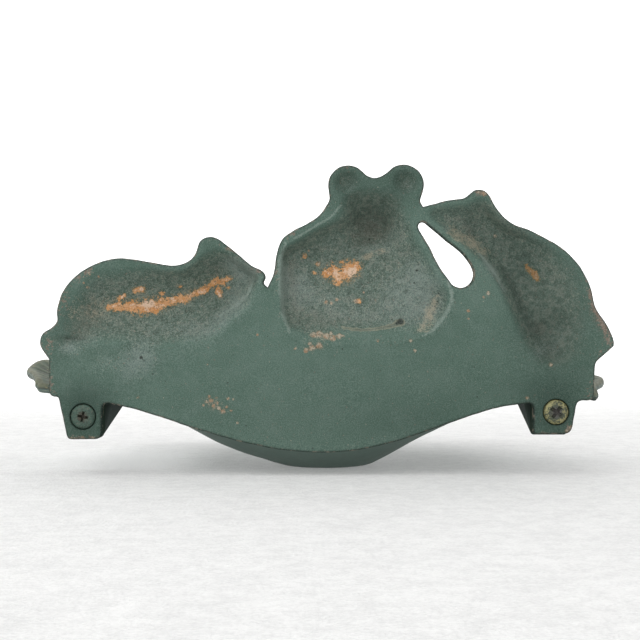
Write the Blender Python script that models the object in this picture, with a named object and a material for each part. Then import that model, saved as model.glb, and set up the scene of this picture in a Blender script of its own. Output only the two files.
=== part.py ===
"""Cast-iron lily-pad dish with a back plate of three frogs.

The oval dish stands on its flat foot. Its brim is cut straight at the back, and a flat-backed plate
with three frogs in relief closes that side. Two pan-head screws go through lugs at the plate's lower
corners into bosses under the brim. The backs of the frogs are hollow, as thin castings are.

Frame: +Z up, origin at the middle of the foot on the floor, the frogs face -Y, the plate's flat back
faces +Y. Lengths are in millimetres. Plate shapes are drawn as seen from behind: u runs to the right
and z up, so X = -u. "Left" and "right" are always as seen from behind.
"""

import math

import bpy
import numpy as np
from mathutils import Vector
from mathutils.geometry import delaunay_2d_cdt

for old in list(bpy.data.objects):
    bpy.data.objects.remove(old, do_unlink=True)

MM = 0.001

# ---------------------------------------------------------------- driving dimensions
BACK_Y = 33.6  # the plate's flat back
PLATE_T = 4.5  # plate thickness
WALL = 3.2  # least wall over a hollow
GAP = 0.3  # clearance between castings

DISH_HALF_X, DISH_HALF_Y = 106.8, 84.0  # half length and half depth of the oval brim
DISH_T = 3.5
CHORD_Y = BACK_Y - PLATE_T - GAP  # where the dish is cut for the plate
FLOOR_Z = 1.3  # height of the floor in the drawing of the plate
FOOT_TO_ORIGIN_X = 2.3  # shift that brings the middle of the foot to the origin

SCREWS = {"left": (-79.9, 21.5), "right": (81.3, 23.0)}  # axes, (u, z)
POCKET_R, POCKET_DEPTH = 4.5, 3.3  # for the screw's head, in the plate's back
LUG_HOLE_R, BOSS_HOLE_R = 2.4, 2.3
LUG_T = 8.0  # from the plate's back
LUG_TOP = 26.2  # ledge under the brim


# ---------------------------------------------------------------- curves
def unit(vector):
    return vector / np.linalg.norm(vector)


def arc(centre_u, centre_z, radius_u, radius_z, start, end, count):
    """Points on an ellipse from `start` to `end` degrees."""
    return [
        (centre_u + radius_u * math.cos(angle), centre_z + radius_z * math.sin(angle))
        for angle in map(math.radians, np.linspace(start, end, count))
    ]


def rounded(corners, step=2.5):
    """Straight runs joined by arcs. The ends are (u, z), and a corner is (u, z, radius)."""
    points = [np.array(corners[0], float)]
    for three in zip(corners, corners[1:], corners[2:]):
        before, here, after = (np.array(corner[:2], float) for corner in three)
        radius = three[1][2]
        to_before, to_after = unit(before - here), unit(after - here)
        half = math.acos(float(np.clip(to_before @ to_after, -1, 1))) / 2
        inward = to_before + to_after
        centre = here + unit(inward) * radius / math.sin(half)
        tangent = radius / math.tan(half)
        for out in (here + to_before * tangent - centre, -inward, here + to_after * tangent - centre):
            points.append(centre + unit(out) * radius)
    points.append(np.array(corners[-1], float))
    run = [points[0]]
    for start, end in zip(points, points[1:]):
        count = max(1, int(round(np.linalg.norm(end - start) / step)))
        run += [start + (end - start) * i / count for i in range(1, count + 1)]
    return [tuple(point) for point in run]


def blend(start, end, start_at, end_at, at):
    """The point at `at` on the line through two points placed at `start_at` and `end_at`."""
    span = end_at - start_at
    return (end_at - at) / span * start + (at - start_at) / span * end


def spline(points, step):
    """Points about `step` apart on a centripetal curve through the given ones, both ends kept."""
    points = np.array(points, float)
    points = np.vstack([2 * points[0] - points[1], points, 2 * points[-1] - points[-2]])
    run = []
    for four in zip(points, points[1:], points[2:], points[3:]):
        knots = [0.0]
        for start, end in zip(four, four[1:]):
            knots.append(knots[-1] + math.sqrt(np.linalg.norm(end - start)))
        for at in np.linspace(knots[1], knots[2], 12, endpoint=False):
            first, middle, last = (
                blend(four[i], four[i + 1], knots[i], knots[i + 1], at) for i in range(3)
            )
            early = blend(first, middle, knots[0], knots[2], at)
            late = blend(middle, last, knots[1], knots[3], at)
            run.append(blend(early, late, knots[1], knots[2], at))
    run = np.array(run + [points[-2]])
    pieces = np.linalg.norm(np.diff(run, axis=0), axis=1)
    length = np.concatenate([[0], np.cumsum(pieces)])
    count = max(2, round(length[-1] / step))
    at = np.linspace(0, length[-1], count + 1)
    return np.column_stack([np.interp(at, length, run[:, i]) for i in (0, 1)])


def closed_curve(strokes, step):
    return np.vstack([spline(stroke, step)[:-1] for stroke in strokes])


def distance(points, loops):
    """How far each point is from the nearest edge of the loops."""
    best = np.full(len(points), 1e9)
    for loop in loops:
        for start, end in zip(loop, np.roll(loop, -1, axis=0)):
            along = end - start
            share = np.clip((points - start) @ along / max(along @ along, 1e-12), 0, 1)
            offset = points - start - share[:, None] * along
            best = np.minimum(best, np.linalg.norm(offset, axis=1))
    return best


def inside(points, loops):
    """Whether each point lies inside the first loop and outside the others."""
    x, y = points[:, 0], points[:, 1]
    odd = np.zeros(len(points), bool)
    for loop in loops:
        for (start_x, start_y), (end_x, end_y) in zip(loop, np.roll(loop, -1, axis=0)):
            crosses = (start_y > y) != (end_y > y)
            rise = (end_y - start_y) or 1e-12
            odd ^= crosses & (x < (end_x - start_x) * (y - start_y) / rise + start_x)
    return odd


def ease(share):
    """Smooth step from 0 to 1."""
    share = np.clip(share, 0, 1)
    return share * share * (3 - 2 * share)


# ---------------------------------------------------------------- mesh tools
SHARP_ANGLE = math.radians(40)


def material(name, colour, roughness, metallic):
    mat = bpy.data.materials.new(name)
    mat.use_nodes = True
    inputs = mat.node_tree.nodes["Principled BSDF"].inputs
    inputs["Base Color"].default_value = (*colour, 1)
    inputs["Roughness"].default_value = roughness
    inputs["Metallic"].default_value = metallic
    return mat


def add_mesh(name, points, faces, mat=None, smooth=True):
    mesh = bpy.data.meshes.new(name)
    vertices = [Vector(point) * MM for point in np.asarray(points, float).tolist()]
    mesh.from_pydata(vertices, [], [list(map(int, face)) for face in faces])
    mesh.update()
    obj = bpy.data.objects.new(name, mesh)
    bpy.context.scene.collection.objects.link(obj)
    if mat:
        mesh.materials.append(mat)
    if smooth:
        mesh.shade_smooth()
        mesh.set_sharp_from_angle(angle=SHARP_ANGLE)
    return obj


def combine(obj, helper, operation="DIFFERENCE"):
    """Cut the helper from the object, or join it on, and hide the helper."""
    modifier = obj.modifiers.new(helper.name, "BOOLEAN")
    modifier.operation = operation
    modifier.solver = "EXACT"
    modifier.object = helper
    helper.hide_render = True
    helper.display_type = "WIRE"


def triangulate(loops, inner):
    """Triangles, anticlockwise, of the region inside the loops, through the inner points."""
    points = np.vstack(loops + [inner])
    edges, start = [], 0
    for loop in loops:
        count = len(loop)
        edges += [(start + i, start + (i + 1) % count) for i in range(count)]
        start += count
    result = delaunay_2d_cdt([Vector(point) for point in points.tolist()], edges, [], 0, 1e-6)
    flat = np.array([tuple(vertex) for vertex in result[0]])
    faces = np.array(list(result[2]))
    faces = faces[inside(flat[faces].mean(axis=1), loops)]
    first, second, third = (flat[faces[:, i]] for i in range(3))
    to_second, to_third = second - first, third - first
    turn = to_second[:, 0] * to_third[:, 1] - to_second[:, 1] * to_third[:, 0]
    solid = np.abs(turn) > 1e-9
    faces, turn = faces[solid], turn[solid]
    faces[turn < 0] = faces[turn < 0][:, ::-1]
    return flat, faces


def shell(faces, count):
    """Faces of a solid from one triangulation used twice: near side, turned far side, and walls."""
    # A dict keeps the edges in order.
    directed = {(int(face[i]), int(face[(i + 1) % 3])): True for face in faces for i in range(3)}
    walls = [(i, i + count, j + count, j) for i, j in directed if (j, i) not in directed]
    return [tuple(face) for face in faces] + [tuple(face[::-1] + count) for face in faces] + walls


def hex_grid(low, high, pitch):
    rows = np.arange(low[1], high[1], pitch * math.sqrt(3) / 2)
    return np.array([
        (x + (pitch / 2 if i % 2 else 0), y)
        for i, y in enumerate(rows)
        for x in np.arange(low[0], high[0], pitch)
    ])


def lathe(name, profile, side, sides=32, mat=None):
    """A turned solid on a screw's axis. The profile is (y, radius) from the -Y to the +Y end."""
    centre_u, centre_z = SCREWS[side]
    turns = [2 * math.pi * i / sides for i in range(sides)]
    points = [
        (-centre_u + radius * math.cos(turn), y, centre_z + radius * math.sin(turn))
        for y, radius in profile
        for turn in turns
    ]
    faces = []
    last = (len(profile) - 1) * sides
    for ring in range(0, last, sides):
        for i in range(sides):
            j = (i + 1) % sides
            faces.append((ring + i, ring + sides + i, ring + sides + j, ring + j))
    faces.append(tuple(range(sides)))
    faces.append(tuple(last + i for i in reversed(range(sides))))
    return add_mesh(name, points, faces, mat)


def prism(name, polygon, near_y, far_y):
    """A block with this (x, z) section between two depths."""
    count = len(polygon)
    following = polygon[1:] + polygon[:1]
    area = sum(here[0] * after[1] - after[0] * here[1] for here, after in zip(polygon, following))
    if area <= 0:
        polygon = polygon[::-1]
    points = [(x, y, z) for y in (near_y, far_y) for x, z in polygon]
    faces = [tuple(range(count)), tuple(reversed(range(count, 2 * count)))]
    for i in range(count):
        j = (i + 1) % count
        faces.append((i, i + count, j + count, j))
    return add_mesh(name, points, faces, smooth=False)


# ---------------------------------------------------------------- the plate's outline
# The strokes run anticlockwise as seen from behind. Each is one smooth curve, and they meet in
# corners. Points are (u, z).
ARCH_LEFT, ARCH_LOW, ARCH_RIGHT = (-71.0, 26.0), (2.0, 9.2), (71.5, 26.0)
ARCH_POWER_LEFT, ARCH_POWER_RIGHT = 1.27, 1.6


def arch(u):
    """Height of the lower edge, lowest a little right of the middle."""
    low_u, low_z = ARCH_LOW
    (end_u, end_z), power = (
        (ARCH_RIGHT, ARCH_POWER_RIGHT) if u > low_u else (ARCH_LEFT, ARCH_POWER_LEFT)
    )
    share = min(1.0, abs(u - low_u) / abs(end_u - low_u))
    return end_z - (end_z - low_z) * max(0.0, math.cos(math.pi / 2 * share)) ** power


BOTTOM_EDGE = [(u, arch(u)) for u in np.linspace(ARCH_LEFT[0], ARCH_RIGHT[0], 17)]
RIGHT_LUG = rounded([
    ARCH_RIGHT, (73.5, 26, 1.5), (73.5, 15.5, 1.3), (86.3, 15.5, 3), (88.5, 27, 2), (94, 27, 2),
    (94.7, 40, 3), (101, 45.5),
])
RIGHT_FROG = [
    (101, 45.5), (101, 47), (99, 52),
    *arc(66, 56, 28.7, 28.7, 6, 66, 7),
    (72.5, 85), (67, 87), (63.5, 89.5), (61, 92.5),
    *arc(55, 94.7, 4.1, 4.1, 30, 140, 5),
    (50, 96), (47, 95.5), (43.5, 95), (40, 94), (36, 93),
]
MIDDLE_FROG = [
    (36, 93), (35, 95),
    *arc(29.3, 100.4, 7, 7, -20, 140, 8),
    (21.5, 103.3), (19.3, 102.8), (17, 103.5),
    *arc(10.4, 100.3, 6.8, 6.8, 45, 195, 8),
    (4, 95.5), (2.5, 92.5), (0, 89.5), (-4, 87), (-8, 85), (-11.5, 82.5), (-13, 80), (-14, 76.5),
    (-15, 70), (-17, 65.5),
]
LEFT_FROG = [
    (-17, 65.5), (-18.3, 67), (-17.7, 69), (-18.5, 70.8), (-22.5, 73), (-27, 76.7), (-31.5, 80.3),
    *arc(-36.5, 78.3, 4.5, 4.5, 55, 145, 4),
    (-41.5, 77.3), (-43, 75.2), (-46, 73.5), (-50, 73), (-58, 74.3),
    *arc(-66, 55.5, 23, 19.9, 90, 185, 9),
    *arc(-90.1, 46.9, 4.5, 4.6, 105, 225, 5),
    (-91.5, 41),
]
LEFT_LUG = rounded([
    (-91.5, 41), (-91.5, 28.4, 2), (-88.3, 28.2, 0.9), (-85.2, 13.8, 1.4), (-73.7, 13.8, 1.8),
    (-73.2, 26, 1.5), ARCH_LEFT,
])
STROKES = [BOTTOM_EDGE, RIGHT_LUG, RIGHT_FROG, MIDDLE_FROG, LEFT_FROG, LEFT_LUG]
CHIN_HOLE = [
    *arc(35.8, 86.3, 1.5, 1.5, 50, 205, 5),
    (38, 79.5), (41.5, 72.5),
    *arc(48.8, 70, 4.5, 4.6, 205, 390, 8),
    (50, 76.4), (43.5, 81.8),
]
OUTLINE_STEP, CHIN_HOLE_STEP = 2.6, 2.2  # spacing of points along the curves
PLATE_GRID = 4.0  # spacing of points inside the outline
PLATE_GRID_LOW, PLATE_GRID_HIGH = (-97, 7), (103, 110)  # corners of the grid
PLATE_GRID_MARGIN = 2.0  # grid points keep this far from the curves

# ---------------------------------------------------------------- the plate's hollows and frogs
# Hollows in the back: spines of (u, z, half width, depth).
HOLLOWS = [
    # left frog
    [(-77, 54, 10, 5), (-70, 59, 11, 9), (-57, 60.5, 11, 10), (-43.5, 63, 10, 10),
     (-32, 67, 10, 10.5), (-25.5, 70, 6, 7)],
    # right frog
    [(42, 89.5, 5, 4), (49, 87.5, 8, 7), (57.5, 85, 10, 10), (66, 75.5, 11, 10),
     (74, 65, 12, 10.5), (79, 55, 12, 9), (80.5, 45, 10, 5)],
    # middle frog's head, and its two eyes as single spots
    [(17.5, 90.5, 10, 11.5), (26, 93.5, 9, 9)],
    [(10.4, 101.3, 5, 2.5)] * 2,
    [(29.8, 101.3, 5, 2.5)] * 2,
]
HOLLOW_POWER = 1.5  # shape of a groove's section
HOLLOW_MARGIN, HOLLOW_FADE = 0.8, 3.0  # no hollow this near an edge, then full depth after the fade

# The basin behind the middle frog's body is a squarish oval.
BASIN_CENTRE, BASIN_HALF, BASIN_DEPTH = (16.0, 63.5), (29.0, 16.5), 8.5
BASIN_SQUARENESS, BASIN_POWER = 4, 0.8

# Rounded masses on the front: (u, z, half length, half width, turn in degrees, dome height).
MASSES = [
    # left frog
    (-60, 59, 27, 15, 8, 15), (-35, 67, 16, 11.5, 20, 14.5), (-37, 76.5, 6, 6, 0, 14.5),
    (-75, 52, 15, 11, 25, 17), (-36, 52, 6, 11, -12, 12),
    # middle frog
    (15.5, 70, 24, 21, 0, 14), (19.5, 93, 17, 12, 0, 15.5), (10, 100.5, 6.6, 6.6, 0, 15.5),
    (29.5, 100.5, 6.6, 6.6, 0, 15.5), (-4, 62, 9, 14, -14, 16), (37, 62, 9, 14, 14, 16),
    # right frog
    (75, 66, 26, 15, -52, 15), (54, 87, 16, 10.5, -18, 14.5), (55.5, 93, 5.6, 5.6, 0, 14.5),
    (84, 52, 15, 11, -60, 17), (62, 60, 6, 12, 8, 12),
    # feet
    (-70, 40, 10, 4, 8, 8), (-32, 40, 7, 3.5, -8, 7), (1, 47, 8, 3.6, 8, 8),
    (31, 47, 8, 3.6, -8, 8), (78, 40, 9, 4, -8, 8), (60, 45, 7, 3.5, 12, 7),
]
MASS_LIMIT = 1.15  # squared share of a mass's half sizes where its dome ends
MASS_SINK = 2.0  # how far a dome is sunk into the plate
MASS_FALL = 10  # how fast the height falls outside the dome
MASS_FILLET = 2.0  # fillet between masses
RELIEF_ROUNDING = 9.0  # width of the rounding along the outline


def fillet_max(first, second, fillet):
    """The larger of two heights, with a fillet of about this size."""
    share = np.clip(0.5 + 0.5 * (first - second) / fillet, 0, 1)
    return second + (first - second) * share + fillet * share * (1 - share)


def trough(u, z, spine):
    """Depth of a rounded groove whose half width and depth change along its spine."""
    depth = np.zeros_like(u)
    for start, end in zip(spine, spine[1:]):
        start_u, start_z, start_half, start_depth = start
        end_u, end_z, end_half, end_depth = end
        run_u, run_z = end_u - start_u, end_z - start_z
        along = (u - start_u) * run_u + (z - start_z) * run_z
        share = np.clip(along / max(run_u * run_u + run_z * run_z, 1e-9), 0, 1)
        off = np.hypot(u - start_u - share * run_u, z - start_z - share * run_z)
        off = off / (start_half + share * (end_half - start_half))
        full = start_depth + share * (end_depth - start_depth)
        depth = np.maximum(depth, full * np.clip(1 - off**2, 0, 1) ** HOLLOW_POWER)
    return depth


def hollow(u, z):
    """Depth of the hollows in the plate's back."""
    off = (
        np.abs((u - BASIN_CENTRE[0]) / BASIN_HALF[0]) ** BASIN_SQUARENESS
        + np.abs((z - BASIN_CENTRE[1]) / BASIN_HALF[1]) ** BASIN_SQUARENESS
    )
    depth = BASIN_DEPTH * np.clip(1 - off, 0, 1) ** BASIN_POWER
    for spine in HOLLOWS:
        depth = np.maximum(depth, trough(u, z, spine))
    return depth


def relief(u, z, edge):
    """Thickness of the plate with its frogs. `edge` is the distance to the nearest outline."""
    height = np.zeros_like(u)
    for centre_u, centre_z, half_length, half_width, turn, tall in MASSES:
        cos, sin = math.cos(math.radians(turn)), math.sin(math.radians(turn))
        along = (u - centre_u) * cos + (z - centre_z) * sin
        across = -(u - centre_u) * sin + (z - centre_z) * cos
        off = (along / half_length) ** 2 + (across / half_width) ** 2
        dome = tall * np.sqrt(np.clip(MASS_LIMIT - off, 0, None))
        fall = MASS_FALL * np.clip(off - MASS_LIMIT, 0, None)
        height = fillet_max(height, dome - MASS_SINK - fall, MASS_FILLET)
    rounding = np.sqrt(np.clip(1 - (1 - np.clip(edge / RELIEF_ROUNDING, 0, 1)) ** 2, 0, 1))
    return PLATE_T + height * rounding


# ---------------------------------------------------------------- frog back plate
# Sections of the blocks that thicken the lugs, (u, z).
LUG_BLOCKS = {
    "left": [(-73.7, LUG_TOP), (-73.7, 15.6), (-75.6, 14.4), (-84.0, 14.3), (-84.9, 15.3),
             (-86.0, 21.0), (-87.0, LUG_TOP)],
    "right": [(74.0, LUG_TOP), (74.0, 17.2), (75.0, 16.0), (81.0, 15.9), (84.6, 16.6),
              (86.0, 17.8), (87.1, 21.8), (88.0, LUG_TOP)],
}
LUG_OVERLAP_END_Y = BACK_Y - 2.0  # the blocks reach this far into the plate
LUG_BORE_OVERRUN = 3  # the bores run this far past the lug at both ends


def make_plate():
    mat = material("painted_iron", colour=(0.045, 0.085, 0.06), roughness=0.6, metallic=0.1)
    loops = [
        closed_curve(STROKES, OUTLINE_STEP),
        closed_curve([CHIN_HOLE + CHIN_HOLE[:1]], CHIN_HOLE_STEP),
    ]
    grid = hex_grid(PLATE_GRID_LOW, PLATE_GRID_HIGH, PLATE_GRID)
    grid = grid[inside(grid, loops)]
    grid = grid[distance(grid, loops) > PLATE_GRID_MARGIN]
    flat, triangles = triangulate(loops, grid)
    u, z = flat[:, 0], flat[:, 1]
    edge = distance(flat, loops)
    depth = hollow(u, z) * np.clip((edge - HOLLOW_MARGIN) / HOLLOW_FADE, 0, 1)
    thick = np.maximum(relief(u, z, edge), depth + WALL)
    back = np.column_stack([-u, BACK_Y - depth, z])
    front = np.column_stack([-u, BACK_Y - thick, z])
    faces = shell(triangles, len(flat))
    plate = add_mesh("frog_backplate", np.vstack([back, front]), faces, mat)

    lug_front_y, pocket_y = BACK_Y - LUG_T, BACK_Y - POCKET_DEPTH
    for side, block in LUG_BLOCKS.items():
        section = [(-u, z) for u, z in block]
        combine(plate, prism("lug_" + side, section, lug_front_y, LUG_OVERLAP_END_Y), "UNION")
    bore = [
        (lug_front_y - LUG_BORE_OVERRUN, LUG_HOLE_R),
        (pocket_y, LUG_HOLE_R),
        (pocket_y, POCKET_R),
        (BACK_Y + LUG_BORE_OVERRUN, POCKET_R),
    ]
    for side in SCREWS:
        combine(plate, lathe("lug_hole_" + side, bore, side))


# ---------------------------------------------------------------- lily-pad dish
# Underside of the dish: (distance from the foot's middle, height).
PROFILE = [
    (0, 0), (13, 0), (15, 0.25), (18, 1.0), (22, 2.6), (28, 5.1), (35.5, 8.8), (42.8, 12.6),
    (53, 17.7), (62, 21.3), (70, 23.7), (80, 25.6), (92, 27.3), (107, 28.7), (115, 29.2),
]
FOOT_R = PROFILE[1][0]
FOOT_OFFSET = 3.2  # the foot's centre lies this far to the right of the oval's middle
FOOT_OFFSET_END = 36.0  # radius where the rings are centred on the oval again
# Sideways tilt of the bowl: (rise towards +X, radius where it is strongest, width of the band).
LEANS = [(0.35, 20, 7), (-0.7, 39, 12)]
LEAN_FADE = 4  # width outside the foot over which the tilt sets in

# Ripples of the brim: (angle round the oval in degrees, lift, reach as a share of the oval). The
# angle runs from the left end of the cut (+X), over the front, to the right end.
RIPPLES = [
    (20.7, -0.7, 0.971), (17, 2.2, 0.962), (9, 4.8, 0.967), (0, 3.6, 1.0), (-14, 6.2, 1.0),
    (-25, 2.0, 0.985), (-35, -2.5, 0.965), (-47, 3.5, 1.0), (-61, -2.0, 0.97), (-75, 3.0, 1.0),
    (-90, -1.5, 0.93), (-105, 3.2, 1.0), (-118, -2.0, 0.97), (-131, 3.6, 1.0),
    (-145, -2.2, 0.968), (-158, 2.6, 1.0), (-170, 0.8, 0.995), (-180, 0.0, 0.984),
    (-190, -0.8, 0.951), (-195, -1.5, 0.945), (-200.7, -5.6, 0.968),
]
RIPPLE_ANGLES, RIPPLE_LIFTS, RIPPLE_REACHES = np.array(RIPPLES[::-1], float).T
RIPPLE_FROM = 0.86  # share of the oval where the brim begins to ripple
RIPPLE_MOST = 1.2  # limit on the growth of the ripples
RIPPLE_POWER = 1.3

RIM_POINTS, CHORD_POINTS = 91, 47
RING_RADII = (0, 6.5, 12.6, 15, 18, 22, 28, 35.5, 42.8, 53, 62, 71, 80, 88, 94.5, 101)
RING_STEP = 6.5  # spacing of points round a ring
RING_MARGIN = 2.2  # ring points keep this far from the rim

# Bosses, with values at the bottom and under the dish. The x values are distances from the middle.
# The inner side leans, and the boss gets narrower towards the front.
BOSS_BOTTOM = 14.6
BOSS_FRONT_Y = (9.0, 6.0)
BOSS_INNER_FRONT_X = {"left": (77.6, 68.4), "right": (77.1, 71.0)}
BOSS_INNER_REAR_X = (74.2, 71.0)
BOSS_OUTER_X = (86.2, 87.2)
BOSS_REAR_Y = BACK_Y - LUG_T - GAP
BOSS_HOLE_Y = (8.5, BACK_Y + 5)  # blind front end, and past the plate's back


def foot_shift(radius):
    return FOOT_OFFSET * (1 - ease(radius / FOOT_OFFSET_END))


def bowl(x, y):
    """Height of the dish's underside."""
    round_y = y * DISH_HALF_X / DISH_HALF_Y  # stretches the oval to a circle
    out = np.hypot(x, round_y)
    off_x = x + foot_shift(out)
    radius = np.hypot(off_x, round_y)
    base = np.interp(radius, *zip(*PROFILE))
    lean = sum(rise * np.exp(-(((radius - at) / width) ** 2)) for rise, at, width in LEANS)
    base = base + lean * off_x / np.maximum(radius, 1) * ease((radius - FOOT_R) / LEAN_FADE)
    angle = np.degrees(np.arctan2(round_y, x))
    angle = np.where(angle > 90, angle - 360, angle)
    lift = np.interp(angle, RIPPLE_ANGLES, RIPPLE_LIFTS)
    share = np.clip((out / DISH_HALF_X - RIPPLE_FROM) / (1 - RIPPLE_FROM), 0, RIPPLE_MOST)
    return FLOOR_Z + base + lift * share**RIPPLE_POWER


def dish_rim():
    """The rippled brim and the straight cut at the back, anticlockwise from above."""
    angles = np.linspace(RIPPLE_ANGLES[0], RIPPLE_ANGLES[-1], RIM_POINTS)
    reach = np.interp(angles, RIPPLE_ANGLES, RIPPLE_REACHES)
    rim = np.column_stack([
        DISH_HALF_X * reach * np.cos(np.radians(angles)),
        DISH_HALF_Y * reach * np.sin(np.radians(angles)),
    ])
    rim[0, 1] = rim[-1, 1] = CHORD_Y
    chord_x = np.linspace(rim[-1, 0], rim[0, 0], CHORD_POINTS)[1:-1]
    return np.vstack([rim, np.column_stack([chord_x, np.full(len(chord_x), CHORD_Y)])])


def dish_rings():
    """Points on oval rings that follow the foot near the middle."""
    rings = []
    for radius in RING_RADII:
        count = max(1, round(2 * math.pi * radius / RING_STEP))
        angles = np.arange(count) * 2 * math.pi / count
        rings.append(np.column_stack([
            radius * np.cos(angles) - foot_shift(radius),
            radius * DISH_HALF_Y / DISH_HALF_X * np.sin(angles),
        ]))
    return np.vstack(rings)


def make_boss(side):
    way = 1 if side == "left" else -1  # the left side is +X
    bottom, top = (
        np.array([
            (way * inner_front, front_y),
            (way * outer, front_y),
            (way * outer, BOSS_REAR_Y),
            (way * inner_rear, BOSS_REAR_Y),
        ])
        for inner_front, inner_rear, outer, front_y in zip(
            BOSS_INNER_FRONT_X[side], BOSS_INNER_REAR_X, BOSS_OUTER_X, BOSS_FRONT_Y
        )
    )
    # The top lies in the middle of the dish's thickness, so the two overlap.
    top_z = bowl(top[:, 0], top[:, 1]) + DISH_T / 2
    points = np.vstack([
        np.column_stack([bottom, np.full(4, BOSS_BOTTOM)]),
        np.column_stack([top, top_z]),
    ])
    faces = [(0, 3, 2, 1), (4, 5, 6), (4, 6, 7)]
    for i in range(4):
        j = (i + 1) % 4
        faces += [(i, j, j + 4), (i, j + 4, i + 4)]
    if way < 0:
        faces = [face[::-1] for face in faces]
    return add_mesh("boss_" + side, points, faces, smooth=False)


def make_dish():
    mat = material("painted_iron_dish", colour=(0.04, 0.075, 0.055), roughness=0.6, metallic=0.1)
    rim = dish_rim()
    inner = dish_rings()
    inner = inner[inside(inner, [rim])]
    inner = inner[distance(inner, [rim]) > RING_MARGIN]
    flat, triangles = triangulate([rim], inner)
    low = bowl(flat[:, 0], flat[:, 1])
    points = np.vstack([np.column_stack([flat, low]), np.column_stack([flat, low + DISH_T])])
    faces = [face[::-1] for face in shell(triangles, len(flat))]
    dish = add_mesh("lily_pad_dish", points, faces, mat)
    for side in SCREWS:
        combine(dish, make_boss(side), "UNION")
    for side in SCREWS:
        bore = [(y, BOSS_HOLE_R) for y in BOSS_HOLE_Y]
        combine(dish, lathe("boss_hole_" + side, bore, side))


# ---------------------------------------------------------------- screws
SEAT_Y = BACK_Y - POCKET_DEPTH + GAP  # underside of the head
HEAD_R, HEAD_H = 4.1, 3.0
SHANK_R, SHANK_L = 2.0, 20.0
TIP_INSET, TIP_L = 0.5, 0.6  # bevel at the shank's end
# Head: (height over the seat, inset from the head's radius).
HEAD_PROFILE = [(0, 0), (1.7, 0), (2.3, 0.35), (2.8, 1.2), (HEAD_H, 2.2)]
# Arms of the cross recess: (height over the head's top, half length, half width).
CROSS_LEVELS = [(-1.7, 0.9, 0.42), (1, 2.6, 0.55)]


def make_screw(side, cross_turn, mat):
    """A pan-head screw with its cross recess turned by `cross_turn` degrees."""
    tip_y = SEAT_Y - SHANK_L
    profile = [(tip_y, SHANK_R - TIP_INSET), (tip_y + TIP_L, SHANK_R), (SEAT_Y, SHANK_R)]
    profile += [(SEAT_Y + height, HEAD_R - inset) for height, inset in HEAD_PROFILE]
    screw = lathe("screw_" + side, profile, side, mat=mat)

    centre_u, centre_z = SCREWS[side]
    faces = [(0, 1, 2, 3), (7, 6, 5, 4)]
    faces += [(i, i + 4, (i + 1) % 4 + 4, (i + 1) % 4) for i in range(4)]
    for arm in (0, 90):
        angle = math.radians(cross_turn + arm)
        cos, sin = math.cos(angle), math.sin(angle)
        points = []
        for height, half, wide in CROSS_LEVELS:
            for along, across in ((-half, -wide), (half, -wide), (half, wide), (-half, wide)):
                x = -centre_u + along * cos - across * sin
                z = centre_z + along * sin + across * cos
                points.append((x, SEAT_Y + HEAD_H + height, z))
        combine(screw, add_mesh("cross_%s_%d" % (side, arm), points, faces, smooth=False))


def make_screws():
    dark = material("screw_painted", colour=(0.06, 0.09, 0.05), roughness=0.5, metallic=0.6)
    worn = material("screw_worn", colour=(0.25, 0.2, 0.09), roughness=0.45, metallic=0.8)
    make_screw("left", cross_turn=12, mat=dark)
    make_screw("right", cross_turn=38, mat=worn)


def move_to_foot():
    """Move every mesh so that the origin is in the middle of the foot, on the floor."""
    for obj in bpy.data.objects:
        for vertex in obj.data.vertices:
            vertex.co.x += FOOT_TO_ORIGIN_X * MM
            vertex.co.z -= FLOOR_Z * MM
        obj.data.update()


make_plate()
make_dish()
make_screws()
move_to_foot()
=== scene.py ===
"""A cast-iron dish: a lily-pad bowl carried on a back plate of three frogs, with two screws.

X runs across, Z is up and the plate's flat back faces +Y; the dish reaches out towards -Y.
The camera looks at the back. Shapes are in millimetres. Plate shapes are drawn as seen from
behind, with "right" running to the viewer's right, so X = -right.
"""
import math

import bpy
import numpy as np
from mathutils import Matrix, Vector
from mathutils.geometry import delaunay_2d_cdt


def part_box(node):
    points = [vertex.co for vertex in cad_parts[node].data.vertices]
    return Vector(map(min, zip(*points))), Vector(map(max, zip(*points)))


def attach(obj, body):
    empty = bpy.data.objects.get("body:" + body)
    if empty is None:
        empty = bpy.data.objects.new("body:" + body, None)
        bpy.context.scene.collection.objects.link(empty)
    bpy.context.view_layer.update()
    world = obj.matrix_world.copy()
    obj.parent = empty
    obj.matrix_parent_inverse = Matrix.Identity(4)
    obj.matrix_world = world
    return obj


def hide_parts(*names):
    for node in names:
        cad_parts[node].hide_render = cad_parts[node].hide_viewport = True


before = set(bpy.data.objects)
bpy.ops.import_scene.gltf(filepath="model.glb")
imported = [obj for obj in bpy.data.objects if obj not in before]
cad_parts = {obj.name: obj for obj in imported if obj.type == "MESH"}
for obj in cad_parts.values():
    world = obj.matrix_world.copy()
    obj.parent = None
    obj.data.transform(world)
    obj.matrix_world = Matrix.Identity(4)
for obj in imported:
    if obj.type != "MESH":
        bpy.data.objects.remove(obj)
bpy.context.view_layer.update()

MM = 0.001
SIDES = ("left", "right")  # as seen from behind

# SHIFT moves the finished meshes, to put the middle of the dish's foot at the origin.
FLOOR_AT = 1.3
SHIFT = (2.3, 0.0, -FLOOR_AT)
PLATE_TOP_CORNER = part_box("frog_backplate")[1]
BACK_Y = PLATE_TOP_CORNER.y / MM
PLATE_T, HOLLOW_WALL, GAP = 4.5, 3.0, 0.3
LUG_T, LUG_TOP = 8.0, 26.2

DISH_HALF_X, DISH_HALF_Y, DISH_T = 106.8, 84.0, 3.5
CHORD_Y = BACK_Y - PLATE_T - GAP  # the dish's straight edge, against the plate
RIPPLE_FROM = 0.86  # share of the reach where the rim starts to ripple
FOOT_OFF = 3.2

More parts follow.
